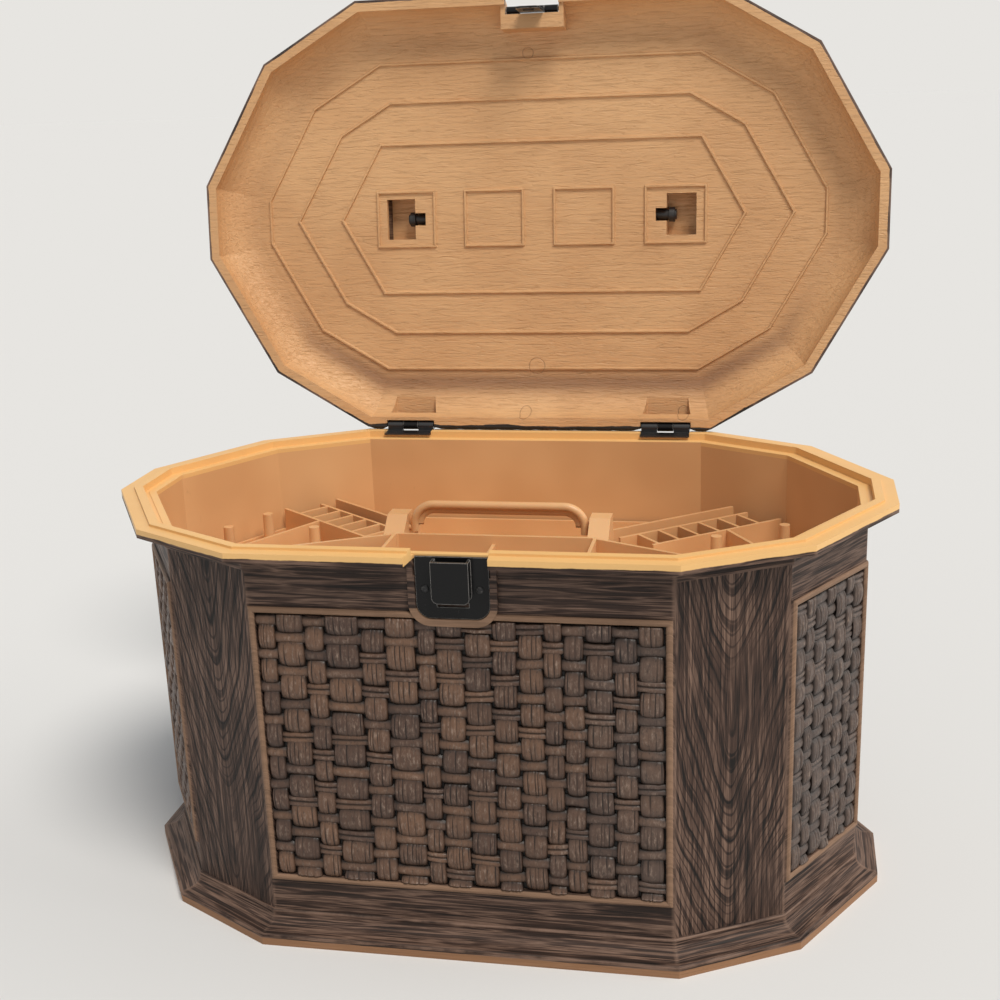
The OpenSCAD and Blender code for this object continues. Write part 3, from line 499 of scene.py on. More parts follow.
@dataclass(frozen=True)
class PaintedWood:
    """Dark brown paint rubbed over moulded wood grain, ragged where it meets the bare plastic.

    Heights are above the table, a name ending in _in is a distance in from the flange's edge, and
    field_turn is how far up a face of the shut lid has to look to be painted.
    """

    plan: Plan
    deep: Colour = (0.009, 0.0065, 0.0055)
    middle: Colour = (0.060, 0.034, 0.025)
    rubbed: Colour = (0.240, 0.150, 0.108)
    bead_highlight_and_rub: Colour = (0.285, 0.170, 0.105)
    bare: Colour = (0.33, 0.17, 0.085)
    flange_bottom: float = 203.7 * MM
    paint_top: float = 205.6 * MM
    ledge_in: float = 0.8 * MM
    foot_top: float = 5 * MM
    skirt_top: float = 14 * MM
    panel_bottom: float = 31 * MM
    panel_top: float = 178 * MM
    fascia_bottom: float = 195.7 * MM
    arch_rise: float = 3.0
    arch_step: float = 20 * MM
    arch_tip: float = 4 * MM
    field_turn: float = 0.12
    edge_in: float = 1.3 * MM
    spray_in: float = 1.5 * MM
    spray_near: float = 112 * MM

    def streaks(self, shader: Shader, place: Value) -> Value:
        """Grain that runs level along every side: thin pale lines on a dark ground.

        Args:
            shader: The material being made.
            place: The point on the object, its third part growing across the grain.

        Returns:
            0 in the dark ground, 1 on the pale lines.
        """
        wavy = shader.noise(place, (15, 15, 330), detail=3, rough=0.6, warp=0.35)
        fine = shader.noise(place, (36, 36, 1300), detail=3, rough=0.6)
        broad = shader.noise(place, (9, 9, 160), detail=2, warp=0.3)
        ridges = 1 - (abs(wavy - 0.5) * 9).least(1.0)
        return (ridges * 0.30 + fine * 0.42 + broad * 0.36).least(1.0)

    def figure(self, shader: Shader, place: Value) -> Value:
        """Upright grain with nested arches that point down the middle of each plain side.

        Args:
            shader: The material being made.
            place: The point on the object.

        Returns:
            0 in the dark lines and pores, 1 on the ridges.
        """
        x, y, z = shader.parts(place)
        along, across = abs(x), abs(y)
        cos, sin = math.cos(self.plan.turn), math.sin(self.plan.turn)
        # Distance from the plain side's middle line, on the sloping sides and then on the ends
        wall_in = self.plan.wall_in
        middle = (self.plan.corner(1, wall_in) + self.plan.corner(2, wall_in)) / 2
        end, _, slope, _ = self.plan.reaches
        on_slope = (slope - (along * sin + across * cos)) < (end - along)
        beside = on_slope * (along * cos - across * sin - (middle.x * cos - middle.y * sin))
        beside = abs(beside + (1 - on_slope) * across)
        bend = shader.noise(place, (30, 30, 11), detail=2.5, rough=0.55)
        sweep = shader.noise(place, (5, 5, 3), detail=1)
        rounded = (beside ** 2 + self.arch_tip ** 2) ** 0.5
        arch = z - rounded * self.arch_rise + bend * 44 * MM + sweep * 110 * MM
        turns = arch * (2 * math.pi / self.arch_step)
        broad, thin = turns.sine().rise(0.55, 1.0), (turns * 2.7 + bend * 9).sine().rise(0.6, 1.0)
        rings = broad * 0.55 + thin * 0.45
        pores = shader.noise(place, (560, 560, 16), detail=4, rough=0.62)
        hairs = shader.noise(place, (1500, 1500, 60), detail=2)
        blotch = shader.noise(place, (30, 30, 12), detail=3)
        grain = 0.55 + (pores - 0.5) * 0.9 + (hairs - 0.5) * 0.55 + (blotch - 0.5) * 0.35
        return (grain - rings * bend.rise(0.26, 0.58) * 0.38).most(0.0)

    def colour(self, shader: Shader, grain: Value, wear: Value) -> Value:
        """The paint's colour.

        Args:
            shader: The material being made.
            grain: 0 in the pores and 1 on the ridges.
            wear: How far the paint is rubbed away, from 0 to 1.

        Returns:
            The colour over the surface.
        """
        tone = shader.add(
            "ShaderNodeValToRGB",
            {"stops": [(0.30, self.deep), (0.52, self.middle), (0.80, self.rubbed)]},
            {0: grain},
        )
        return shader.blend(wear, tone, self.rubbed)

    def box_material(self, tan: TanPlastic) -> bpy.types.Material:
        """Makes the box shell's material: grain outside, bare plastic on the rim and inside.

        Args:
            tan: The plastic's finish.

        Returns:
            The material.
        """
        shader = Shader("box_shell_finish")
        place = shader.place()
        x, y, z = shader.parts(place)
        panelled, plain, inset = inset_of(self.plan, x, y)
        patches = shader.noise(place, (45, 45, 45), detail=4, rough=0.6)
        level = ((panelled < plain) + (z < self.skirt_top)).least(1.0)
        level = (level + (z > self.fascia_bottom)).least(1.0)
        streaks = self.streaks(shader, shader.point(x, y, z + inset))
        figure = self.figure(shader, place)
        grain = level * streaks + (1 - level) * figure
        grain = grain + (patches - 0.5) * 0.16
        # Rubbed lines: the twelve corners and the skirt's edges; the frame beads get a painted highlight
        # with rubbed wear
        proud = self.plan.wall_in - inset
        between = (z > self.panel_bottom - 2 * MM) * (z < self.panel_top + 2 * MM)
        between = between * (panelled < plain)
        bead = between * proud.rise(0.5 * MM, 1.3 * MM)
        corner = abs(panelled - plain).rise(0.9 * MM, 0.1 * MM) * 0.8
        foot = z.line(self.foot_top, 0.7 * MM)
        skirt = z.line(self.skirt_top - 0.7 * MM, 0.9 * MM) * (proud > 0.5 * MM)
        fascia = z.line(self.fascia_bottom, 0.8 * MM) * 0.7
        lines = corner.most(foot).most(skirt).most(fascia)
        wear = lines * patches.rise(0.36, 0.62) * 0.75
        paint = self.colour(shader, grain, wear)
        # Painted highlight with rubbed wear: the proud frame beads are lightened to a bronze tone in
        # patches
        bead_highlight_and_rub_mask = bead * (patches * 0.5 + streaks * 0.35 + 0.35).least(1.0)
        paint = shader.blend(bead_highlight_and_rub_mask, paint, self.bead_highlight_and_rub)
        # Bare plastic: the rim, its ledge, the inside, and a strip along the foot
        ragged = (patches - 0.5) * 5 * MM
        rim = (z + ragged * 0.35).rise(self.paint_top - 0.2 * MM, self.paint_top + 0.2 * MM)
        inside = inset > (self.plan.cavity_in - 0.4 * MM)
        ledge = (inset > self.ledge_in) * (z > self.flange_bottom)
        bare = rim.most(inside).most(ledge)
        strip = (z + ragged * 0.2).rise(self.foot_top - 0.9 * MM, self.foot_top - 1.3 * MM)
        paint = shader.blend(strip * 0.85, paint, self.bare)
        # Painted highlight: the flange's plastic is lightened and yellowed in patches
        flange = (inset < self.plan.cavity_in) * (z > self.flange_bottom)
        plastic = shader.blend(flange * (0.55 + patches * 0.5), tan.colour(shader, place), tan.flange_highlight)
        shader.set(Base_Color=shader.blend(bare, paint, plastic))
        shine = bare * tan.gloss(shader, place) + (1 - bare) * (0.64 - grain * 0.2)
        shader.set(Roughness=shine, Specular_IOR_Level=0.25)
        shader.normal((1 - bare) * grain + bare * 0.5, 0.42 * MM, rounding=0.4 * MM)
        return shader.material

    def edge_material(self) -> bpy.types.Material:
        """Makes the near-black paint of thin edges."""
        shader = Shader("edge_paint")
        place = shader.place()
        patches = shader.noise(place, (160, 160, 160), detail=4, rough=0.65)
        shader.set(Base_Color=shader.blend(patches.rise(0.50, 0.66), self.deep, self.middle))
        shader.set(Roughness=patches * 0.4 + 0.35)
        shader.normal(patches, 0.3 * MM)
        return shader.material

    def lid_material(self, tan: TanPlastic, swing: "LidPlace") -> bpy.types.Material:
        """Makes the lid's material: bare, faintly grained plastic inside and paint outside.

        Args:
            tan: The plastic's finish.
            swing: Where the open lid stands.

        Returns:
            The material.
        """
        shader = Shader("lid_shell_finish")
        open_place = shader.place()
        place = swing.shut(shader, open_place)
        x, y, z = shader.parts(place)
        inset = inset_of(self.plan, x, y)[2]
        facing = swing.shut_direction(shader, shader.add("ShaderNodeTexCoord", output="Normal"))
        up = shader.parts(facing)[2]
        patches = shader.noise(place, (45, 45, 45), detail=4, rough=0.6)
        edge = inset + (patches - 0.5) * 1.6 * MM
        # Painted: what looks up, the edge, the bosses and the walls of the latch's notch
        skin = (edge < self.edge_in).most(z > swing.top) * (1 - swing.in_pocket(x, y))
        skin = skin.most(swing.in_notch(x, y, inset) * (up > -0.2))
        hollow = swing.in_hollow(x, z, inset) * (y > 0.0)
        outside = (up > self.field_turn).most(skin) * (1 - hollow)
        moulded = shader.noise(place, (70, 620, 620), detail=4, rough=0.62, warp=1.0)
        crests = 1 - (abs(moulded - 0.5) * 5).least(1.0)
        # The grain follows the cove's mitres, and runs along the box on the flat top
        sloped = inset < swing.cove_in
        across = sloped * (z + inset) + (1 - sloped) * y
        streaks = self.streaks(shader, shader.point(x, y * sloped, across))
        grain = streaks * 0.8 + patches * 0.2
        wear = edge.rise(2.2 * MM, 0.9 * MM) * patches.rise(0.4, 0.6) * 0.5
        paint = self.colour(shader, grain, wear)
        bare = tan.colour(shader, place)
        bare = shader.blend(crests * 0.16 + moulded.rise(0.60, 0.34) * 0.16, bare, tan.dark)
        # Painted shade: a darker band along the cove, strongest towards the hinge side
        cove_shade_and_dust = inset.line(swing.cove_shade_in, 11 * MM) * (y.rise(40 * MM, 95 * MM) * 0.75 + 0.15)
        bare = shader.blend(cove_shade_and_dust, bare, tan.stain_and_shade)
        marks = swing.ring_marks(x, y)
        bare = shader.blend(marks * 0.5, bare, tan.stain_and_shade)
        spray = (inset + (patches - 0.5) * 5 * MM).rise(self.spray_in, self.spray_in - 0.4 * MM)
        spray = spray * (y > self.spray_near)
        covered = shader.blend(spray, paint, self.deep)
        shader.set(Base_Color=shader.blend(outside.most(spray), bare, covered))
        shine = outside * (0.60 - grain * 0.2) + (1 - outside) * tan.gloss(shader, place)
        shader.set(Roughness=shine)
        inner = moulded * 0.8 + crests * 0.5 - marks * 0.5
        shader.normal(outside * grain + (1 - outside) * inner, 0.44 * MM, rounding=0.45 * MM)
        return shader.material


@dataclass(frozen=True)
class LidPlace:
    """Where the open lid stands, and how to go back to where it lies shut."""

    angle: float
    axis_y: float
    axis_z: float
    top_rise: float = 19.6 * MM
    pocket_near: float = 70 * MM
    pocket_far: float = 94 * MM
    pocket_half: float = 12.1 * MM
    hinge_x: float = 78.2 * MM
    hollow_half: float = 14.8 * MM
    hollow_in: float = 2.9 * MM
    # How far in from the edge the middle of the painted shade along the cove lies
    cove_shade_in: float = 26 * MM
    cove_in: float = 32 * MM
    notch_half: float = 15.8 * MM
    notch_in: float = 12 * MM
    rings: tuple[tuple[float, float, float], ...] = (
        (-2.0 * MM, 89.4 * MM, 4.8 * MM), (-5.4 * MM, -94.3 * MM, 3.2 * MM),
        (-7.7 * MM, 116.6 * MM, 3.4 * MM), (88.0 * MM, 116.6 * MM, 3.4 * MM),
    )

    @classmethod
    def from_frame(cls, joints: Iterable[dict[str, Any]]) -> "LidPlace":
        """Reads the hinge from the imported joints.

        Args:
            joints: The frame's joints.

        Returns:
            Where the lid stands.
        """
        hinge = next(joint for joint in joints if joint["name"] == "lid_hinge")
        turn = math.radians(abs(hinge["range_deg"][0]))
        _, y, z = hinge["pos_m"]
        return cls(angle=turn, axis_y=y, axis_z=z)

    @property
    def top(self) -> float:
        """Height just above the shut lid's flat top, below which its bosses don't reach."""
        return self.axis_z + self.top_rise

    @property
    def matrix(self) -> Matrix:
        """From the shut lid to the open one."""
        middle = Matrix.Translation((0, self.axis_y, self.axis_z))
        return middle @ Matrix.Rotation(-self.angle, 4, "X") @ middle.inverted()

    def _turned(self, shader: Shader, vector: Value, centre: tuple[float, float, float]) -> Value:
        """Turns a vector from the open lid to the shut one about a centre."""
        inputs = {"Vector": vector, "Center": centre, "Angle": self.angle}
        return shader.add("ShaderNodeVectorRotate", {"rotation_type": "X_AXIS"}, inputs)

    def shut(self, shader: Shader, place: Value) -> Value:
        """A point of the open lid, taken to where it lies shut."""
        return self._turned(shader, place, (0, self.axis_y, self.axis_z))

    def shut_direction(self, shader: Shader, direction: Value) -> Value:
        """A direction on the open lid, turned as the lid is when shut."""
        return self._turned(shader, direction, (0, 0, 0))

    def in_pocket(self, x: Value, y: Value) -> Value:
        """1 inside the hollows of the handle's bosses."""
        return (abs(x) > self.pocket_near) * (abs(x) < self.pocket_far) * (abs(y) < self.pocket_half)

    def in_hollow(self, x: Value, z: Value, inset: Value) -> Value:
        """1 inside the hollows over the hinges."""
        beside = abs(abs(x) - self.hinge_x) < self.hollow_half
        return beside * (inset > self.hollow_in) * (z < self.top - 6 * MM)

    def in_notch(self, x: Value, y: Value, inset: Value) -> Value:
        """1 on the walls of the notch in which the latch plate stands."""
        return (abs(x) < self.notch_half) * (inset < self.notch_in) * (y < 0.0)

    def ring_marks(self, x: Value, y: Value) -> Value:
        """Thin round marks of the mould's pins.

        Args:
            x: Place along the shut lid.
            y: Place across the shut lid.

        Returns:
            1 on the marks, else 0.
        """
        found = None
        for ring_x, ring_y, radius in self.rings:
            away = ((x - ring_x) ** 2 + (y - ring_y) ** 2) ** 0.5
            ring = away.line(radius, 0.5 * MM)
            found = found.most(ring) if found else ring
        return found


@dataclass(frozen=True)
class WovenFinish:
    """Brown woven straps with painted shade in the gaps, the grooves and where the weave lies low,
    rubbed pale on the fibres that stand out.
    """

    gap: Colour = (0.0065, 0.005, 0.0045)
    strap: Colour = (0.080, 0.045, 0.032)
    warm: Colour = (0.160, 0.086, 0.052)
    grey: Colour = (0.080, 0.061, 0.054)
    rubbed: Colour = (0.36, 0.26, 0.20)

    def material(self) -> bpy.types.Material:
        """Makes the woven panels' material from the values stored on their meshes."""
        shader = Shader("woven_straps")
        place = shader.place()
        x = shader.parts(place)[0]
        crest, fibre, tone = (shader.attribute(name) for name in ("crest", "fibre", "tone"))
        cloud = shader.noise(place, (60, 60, 60), detail=3)
        speck = shader.noise(place, (700, 700, 300), detail=4, rough=0.7)
        hairs = shader.noise(place, (1300, 1300, 160), detail=3, rough=0.6)
        body = shader.blend((tone * 0.6 + cloud * 0.6).rise(0.25, 0.95), self.strap, self.warm)
        greyed = (x + (cloud - 0.5) * 120 * MM).rise(20 * MM, 150 * MM) * 0.8
        body = shader.blend(greyed, body, self.grey)
        # Painted shade: the grooves between fibres and the flat field behind the straps are darkened
        body = shader.blend(fibre.rise(0.62, 0.12) * 0.9, body, self.gap)
        # Painted shade: darker where the weave lies low, at the straps' ends and sides and the cords'
        # edges
        shaded = shader.blend(crest.rise(0.25, 0.92) * 0.9 + 0.1, self.gap, body)
        shaded = shader.blend(hairs.rise(0.52, 0.66) * 0.55, shaded, self.gap)
        worn = (speck * 0.75 + hairs * 0.45).rise(0.56, 0.86)
        worn = crest.rise(0.62, 0.96) * fibre.rise(0.5, 0.95) * worn
        shader.set(Base_Color=shader.blend(worn * 0.85, shaded, self.rubbed))
        shader.set(Roughness=0.58 - fibre * 0.14 - speck * 0.12, Specular_IOR_Level=0.35)
        shader.normal(speck * 0.6 + hairs * 0.4, 0.22 * MM)
        return shader.material


@dataclass(frozen=True)
class Enamel:
    """Black gloss enamel on steel, with a pale painted highlight and wear along its edges and a few fine
    scratches.
    """

    black: Colour = (0.006, 0.006, 0.0065)
    scratch_and_edge_highlight: Colour = (0.30, 0.285, 0.27)

    def material(self) -> bpy.types.Material:
        """Makes the enamel."""
        shader = Shader("black_enamel")
        place = shader.place()
        fine = shader.noise(place, (1500, 300, 300), detail=4, rough=0.7, warp=1.5)
        cove_shade_and_dust = shader.noise(place, (800, 800, 800), detail=3, rough=0.7)
        # Painted highlight with wear: pale lines along the sharp edges, in patches
        edges = shader.edges(0.6 * MM) * cove_shade_and_dust.rise(0.28, 0.5)
        scratches_and_edge_highlight = (fine.rise(0.70, 0.76) * 0.5).most(edges)
        shader.set(Base_Color=shader.blend(scratches_and_edge_highlight, self.black, self.scratch_and_edge_highlight))
        shader.set(Roughness=cove_shade_and_dust * 0.2 + 0.12, Specular_IOR_Level=0.22)
        shader.normal(cove_shade_and_dust, 0.03 * MM, rounding=0.35 * MM)
        return shader.material


@dataclass(frozen=True)
class HingeLacquer:
    """Black enamel on the knuckles, worn to brown lacquer on the flat part in the lid's notch."""

    black: Colour = (0.011, 0.011, 0.012)
    brown: Colour = (0.175, 0.105, 0.062)
    flat_top: float = 207.6 * MM

    def material(self) -> bpy.types.Material:
        """Makes the lacquer."""
        shader = Shader("hinge_lacquer")
        place = shader.place()
        z = shader.parts(place)[2]
        cloud = shader.noise(place, (180, 180, 180), detail=4, rough=0.65)
        ragged = z + (cloud - 0.5) * 1.2 * MM
        flat = ragged.rise(self.flat_top + 0.3 * MM, self.flat_top - 0.2 * MM)
        worn = flat * (0.55 + cloud * 0.7).least(1.0)
        shader.set(Base_Color=shader.blend(worn, self.black, self.brown))
        shader.set(Roughness=cloud * 0.25 + 0.22, Coat_Weight=0.3, Coat_Roughness=0.15)
        shader.normal(cloud, 0.04 * MM, rounding=0.3 * MM)
        return shader.material


@dataclass(frozen=True)
class PinSteel:
    """Blackened steel of pins and rivets, rubbed grey in small patches."""

    black: Colour = (0.012, 0.012, 0.013)
    worn: Colour = (0.10, 0.095, 0.09)

    def material(self) -> bpy.types.Material:
        """Makes the worn steel."""
        shader = Shader("pin_steel")
        place = shader.place()
        rub = shader.noise(place, (900, 900, 900), detail=3)
        shader.set(Base_Color=shader.blend(rub.rise(0.5, 0.7), self.black, self.worn))
        shader.set(Metallic=0.3, Roughness=rub * 0.3 + 0.30)
        shader.normal(rub, 0.03 * MM, rounding=0.2 * MM)
        return shader.material


@dataclass(frozen=True)
class HandlePlastic:
    """Black moulded plastic of the carrying handle, with a fine leathery grain."""

    black: Colour = (0.016, 0.015, 0.015)
    grey: Colour = (0.05, 0.048, 0.046)

    def material(self) -> bpy.types.Material:
        """Makes the handle's plastic."""
        shader = Shader("handle_plastic")
        place = shader.place()
        grain = shader.noise(place, (1100, 1100, 1100), detail=3, rough=0.6)
        worn = shader.noise(place, (90, 90, 90), detail=3)
        shader.set(Base_Color=shader.blend(worn.rise(0.5, 0.8) * 0.6, self.black, self.grey))
        shader.set(Roughness=grain * 0.3 + 0.28)
        shader.normal(grain, 0.05 * MM, rounding=0.6 * MM)
        return shader.material


@dataclass
class Sheet:
    """Points, faces and stored values of a mesh while it is being built."""

    points: list[Vector] = field(default_factory=list)
    faces: list[tuple[int, ...]] = field(default_factory=list)
    values: dict[str, list[float]] = field(default_factory=dict)

    def grid(self, rows: Sequence[Sequence[Vector]], **values: Sequence[Sequence[float]]) -> None:
        """Adds a net of points as quads.

        Args:
            rows: Points in rows of one length.
            **values: Stored values, laid out as the points are.
        """
        start, wide = len(self.points), len(rows[0])
        for r, row in enumerate(rows):
            self.points.extend(row)
            for name, table in values.items():
                self.values.setdefault(name, []).extend(table[r])
        for r in range(len(rows) - 1):
            for c in range(wide - 1):
                a = start + r * wide + c
                self.faces.append((a, a + 1, a + 1 + wide, a + wide))

    def build(self, name: str, material: bpy.types.Material, place: Matrix) -> bpy.types.Object:
        """Makes the object.

        Args:
            name: The piece's name.
            material: Its finish.
            place: From the mesh's own axes to the frame.

        Returns:
            The object, with its points in the frame.
        """
        mesh = bpy.data.meshes.new(name)
        mesh.from_pydata([place @ p for p in self.points], [], self.faces)
        for key, numbers in self.values.items():
            mesh.attributes.new(key, "FLOAT", "POINT").data.foreach_set("value", numbers)
        mesh.polygons.foreach_set("use_smooth", [True] * len(mesh.polygons))
        mesh.materials.append(material)
        piece = bpy.data.objects.new(name, mesh)
        bpy.context.scene.collection.objects.link(piece)
        return piece


@dataclass(frozen=True)
class PanelField:
    """The flat field of a panel, in the side's own axes: its corners and its depth."""

    low: Vector
    high: Vector
    base: float

    @classmethod
    def of_node(cls, node: str, place: Matrix, sink: float) -> "PanelField":
        """Measures a CAD panel.

        Args:
            node: The panel's CAD node.
            place: From the side's own axes to the frame.
            sink: How far the field lies before the back of the CAD panel.

        Returns:
            The field.
        """
        back = place.inverted()
        points = [back @ v.co for v in bpy.data.objects[node].data.vertices]
        low = Vector(min(p[k] for p in points) for k in range(3))
        high = Vector(max(p[k] for p in points) for k in range(3))
        return cls(low, high, high.y - sink)

    def within(self, z: float) -> float:
        """A height, held between the field's lower and upper edge."""
        return min(max(z, self.low.z), self.high.z)

    def holds(self, start: float, end: float, least: float) -> bool:
        """True if a length from start to end shows for at least a certain height."""
        return not (start > self.high.z - least or end < self.low.z + least)


@dataclass
class WovenPanel:
    """One woven panel: upright straps of fibres that pass over and under level cords.

    shares gives the columns' widths next to each other, and notch the half width and the lower
    edge of the keeper's border, behind which the weave lies flat.
    """

    side: Side
    shares: Sequence[float]
    seed: int
    notch: tuple[float, float] | None = None
    relief: float = 3.4 * MM
    pitch: float = 17.3 * MM
    strap: float = 12.0 * MM
    gap: float = 0.5 * MM
    fibre_w: float = 2.3 * MM
    end_round: float = 2.1
    side_round: float = 5.5
    field_sink: float = 0.6 * MM
    backing_out: float = 0.1 * MM
    least_shown: float = 1 * MM
    cord_spread: float = 0.9 * MM
    cord_steps: int = 10
    strap_stops: tuple[float, ...] = (
        0.0, 0.02, 0.06, 0.13, 0.24, 0.38, 0.52, 0.66, 0.78, 0.88, 0.94, 0.98, 1.0,
    )
    cord_stops: tuple[float, ...] = (-1.1, -0.85, -0.5, -0.15, 0.2, 0.55, 0.85, 1.1)

    def strap_height(self, across: float, along: float) -> float:
        """Height of a strap as a share of the relief: a barrel, rounded at its ends and sides.

        Args:
            across: From -1 to 1 over its width.
            along: From 0 to 1 over its length.

        Returns:
            The share.
        """
        arch = max(0.0, 1 - abs(2 * along - 1) ** self.end_round) ** 0.5
        crown = max(0.0, 1 - abs(across) ** self.side_round) ** 0.5
        return 0.06 + 0.94 * arch * (0.22 + 0.78 * crown)

    def build(self, plan: Plan, material: bpy.types.Material) -> bpy.types.Object:
        """Builds the panel in place of its CAD node.

        Args:
            plan: The box's plan.
            material: The woven finish.

        Returns:
            The panel.
        """
        rng = random.Random(self.seed)
        place = plan.side_matrix(self.side, plan.wall_in)
        panel = PanelField.of_node(self.side.node, place, self.field_sink)
        sheet = Sheet()
        self.add_backing(sheet, panel)
        total, x = sum(self.shares), panel.low.x
        rows = int((panel.high.z - panel.low.z) / self.pitch) + 3
        for column, share in enumerate(self.shares):
            width = (panel.high.x - panel.low.x) * share / total
            # Every second column starts half a strap higher
            first = -1.0 + (column % 2) * 0.5
            for k in range(rows):
                foot = panel.low.z + (first + k) * self.pitch
                self.add_strap(sheet, rng, panel, x + width / 2, width - self.gap, foot)
                self.add_cord(sheet, rng, panel, x + width / 2, width, foot + self.strap)
            x += width
        piece = sheet.build(self.side.node + "_straps", material, place)
        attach(piece, "box")
        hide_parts(self.side.node)
        LOG.info("%s: %d faces", piece.name, len(sheet.faces))
        return piece

    def add_backing(self, sheet: Sheet, panel: PanelField) -> None:
        """Adds the flat field behind the straps.

        Args:
            sheet: The mesh being built.
            panel: The panel's field.
        """
        low, high, y = panel.low, panel.high, panel.base + self.backing_out
        rows = [[Vector((x, y, z)) for x in (low.x, high.x)] for z in (low.z, high.z)]
        zeros = [[0.0, 0.0], [0.0, 0.0]]
        sheet.grid(rows, crest=zeros, fibre=zeros, tone=zeros)

    def sunk(self, x: float, z: float) -> bool:
        """True behind the latch keeper's border."""
        return self.notch is not None and abs(x) < self.notch[0] and z > self.notch[1]

    def fibre_stops(self, rng: random.Random, wide: float) -> tuple[int, list[tuple[float, int, float]]]:
        """Divides a strap's width into fibres of uneven width.

        Args:
            rng: Source of the small differences between straps.
            wide: Width of the strap.

        Returns:
            The number of fibres, and the points across the strap: each one's place from 0 to 1,
            its fibre, and 1 on the fibre or 0 in a groove.
        """
        fibres = max(3, round(wide / self.fibre_w + rng.uniform(-1.4, 1.2)))
        edges, weights = [0.0], [rng.uniform(0.5, 1.6) for _ in range(fibres)]
        for weight in weights:
            edges.append(edges[-1] + weight / sum(weights))
        stops = [(edges[0], 0, 0.0), (0.03, 0, 0.6)]
        for n in range(fibres):
            left, span = edges[n], edges[n + 1] - edges[n]
            stops += [(left + span * part, n, 1.0) for part in (0.22, 0.5, 0.78)]
            if n < fibres - 1:
                stops.append((edges[n + 1], n, 0.0))
        stops += [(0.97, fibres - 1, 0.6), (1.0, fibres - 1, 0.0)]
        return fibres, stops

    def add_strap(
        self, sheet: Sheet, rng: random.Random, panel: PanelField,
        middle: float, wide: float, foot: float,
    ) -> None:
        """Adds one strap where it passes in front.

        Args:
            sheet: The mesh being built.
            rng: Source of the small differences between straps.
            panel: The panel's field.
            middle: Place of the strap along the side.
            wide: Width of the strap.
            foot: Height of its lower end.
        """
        tall, lean = rng.uniform(0.90, 1.03), rng.uniform(-0.04, 0.04)
        shift, drop = rng.uniform(-0.3, 0.3) * MM, rng.uniform(-0.7, 0.7) * MM
        long = self.strap * rng.uniform(0.98, 1.12)
        tone, bow = rng.random(), rng.uniform(0.03, 0.10)
        if not panel.holds(foot + drop, foot + drop + long, self.least_shown):
            return
        fibres, stops = self.fibre_stops(rng, wide)
        cuts = [
            (rng.choice((0.35, 0.7, 1.0)), rng.uniform(0.1, 0.9), rng.uniform(0.5, 1.2))
            for _ in range(fibres)
        ]
        bumps = [rng.uniform(-0.05, 0.03) for _ in range(fibres)]
        rows, crests, ridges, tones = [], [], [], []
        for t in self.strap_stops:
            row, crest_row, ridge_row = [], [], []
            waist = 1 - 0.07 * abs(2 * t - 1) ** 2.5
            for u, n, ridge in stops:
                across = 2 * u - 1
                depth, middle_t, reach = cuts[n]
                groove = (1 - ridge) * depth * max(0.15, 1 - ((t - middle_t) / reach) ** 2)
                z = foot + drop + long * (t + bow * (1 - across * across) * (2 * t - 1))
                x = middle + shift + across * waist * wide / 2 + lean * (t - 0.5) * long
                share = self.strap_height(across, t) * tall
                if 0.0 < u < 1.0:
                    share *= 1 + bumps[n] - 0.22 * groove
                z = panel.within(z)
                if self.sunk(x, z):
                    share = 0.0
                row.append(Vector((x, panel.base - share * self.relief, z)))
                crest_row.append(share)
                ridge_row.append(1 - groove)
            rows.append(row)
            crests.append(crest_row)
            ridges.append(ridge_row)
            tones.append([tone] * len(stops))
        sheet.grid(rows, crest=crests, fibre=ridges, tone=tones)

    def add_cord(
        self, sheet: Sheet, rng: random.Random, panel: PanelField,
        middle: float, width: float, foot: float,
    ) -> None:
        """Adds the level cord that shows between two straps of a column.

        Args:
            sheet: The mesh being built.
            rng: Source of the small differences between cords.
            panel: The panel's field.
            middle: Place of the column along the side.
            width: Width of the column.
            foot: Height of the cord's lower edge.
        """
        space = self.pitch - self.strap
        strands = rng.choice((1, 1, 1, 2))
        high, tone, tilt = rng.uniform(0.66, 0.80), rng.random(), rng.uniform(-0.4, 0.4)
        if not panel.holds(foot, foot + space, self.least_shown):
            return
        lean = rng.uniform(-0.4, 0.4) * MM
        thick = [rng.uniform(0.92, 1.08) for _ in self.cord_stops]
        steps = self.cord_steps * strands
        levels = [n / steps for n in range(steps + 1)]
        rows, crests, ridges, tones = [], [], [], []
        for t in levels:
            strand_t = (t * strands) % 1.0 if t < 1 else 1.0
            roundness = math.sin(math.pi * min(max(strand_t, 0.015), 0.985)) ** 0.5
            inner = strands > 1 and 0.05 < t < 0.95
            row, crest_row = [], []
            for u, wide_here in zip(self.cord_stops, thick):
                share = high * (0.35 + 0.65 * roundness if inner else roundness)
                share *= (1 - 0.22 * abs(u) ** 3) * (1 + 0.05 * tilt * u)
                reach = (t - 0.5) * (space + self.cord_spread) * wide_here
                z = panel.within(foot + space / 2 + reach + lean * u)
                x = middle + u * width / 2
                share = 0.0 if self.sunk(x, z) else max(share, 0.0)
                row.append(Vector((x, panel.base - share * self.relief, z)))
                crest_row.append(share * 1.2)
            rows.append(row)
            crests.append(crest_row)
            ridges.append([0.9] * len(row))
            tones.append([tone] * len(row))
        sheet.grid(rows, crest=crests, fibre=ridges, tone=tones)


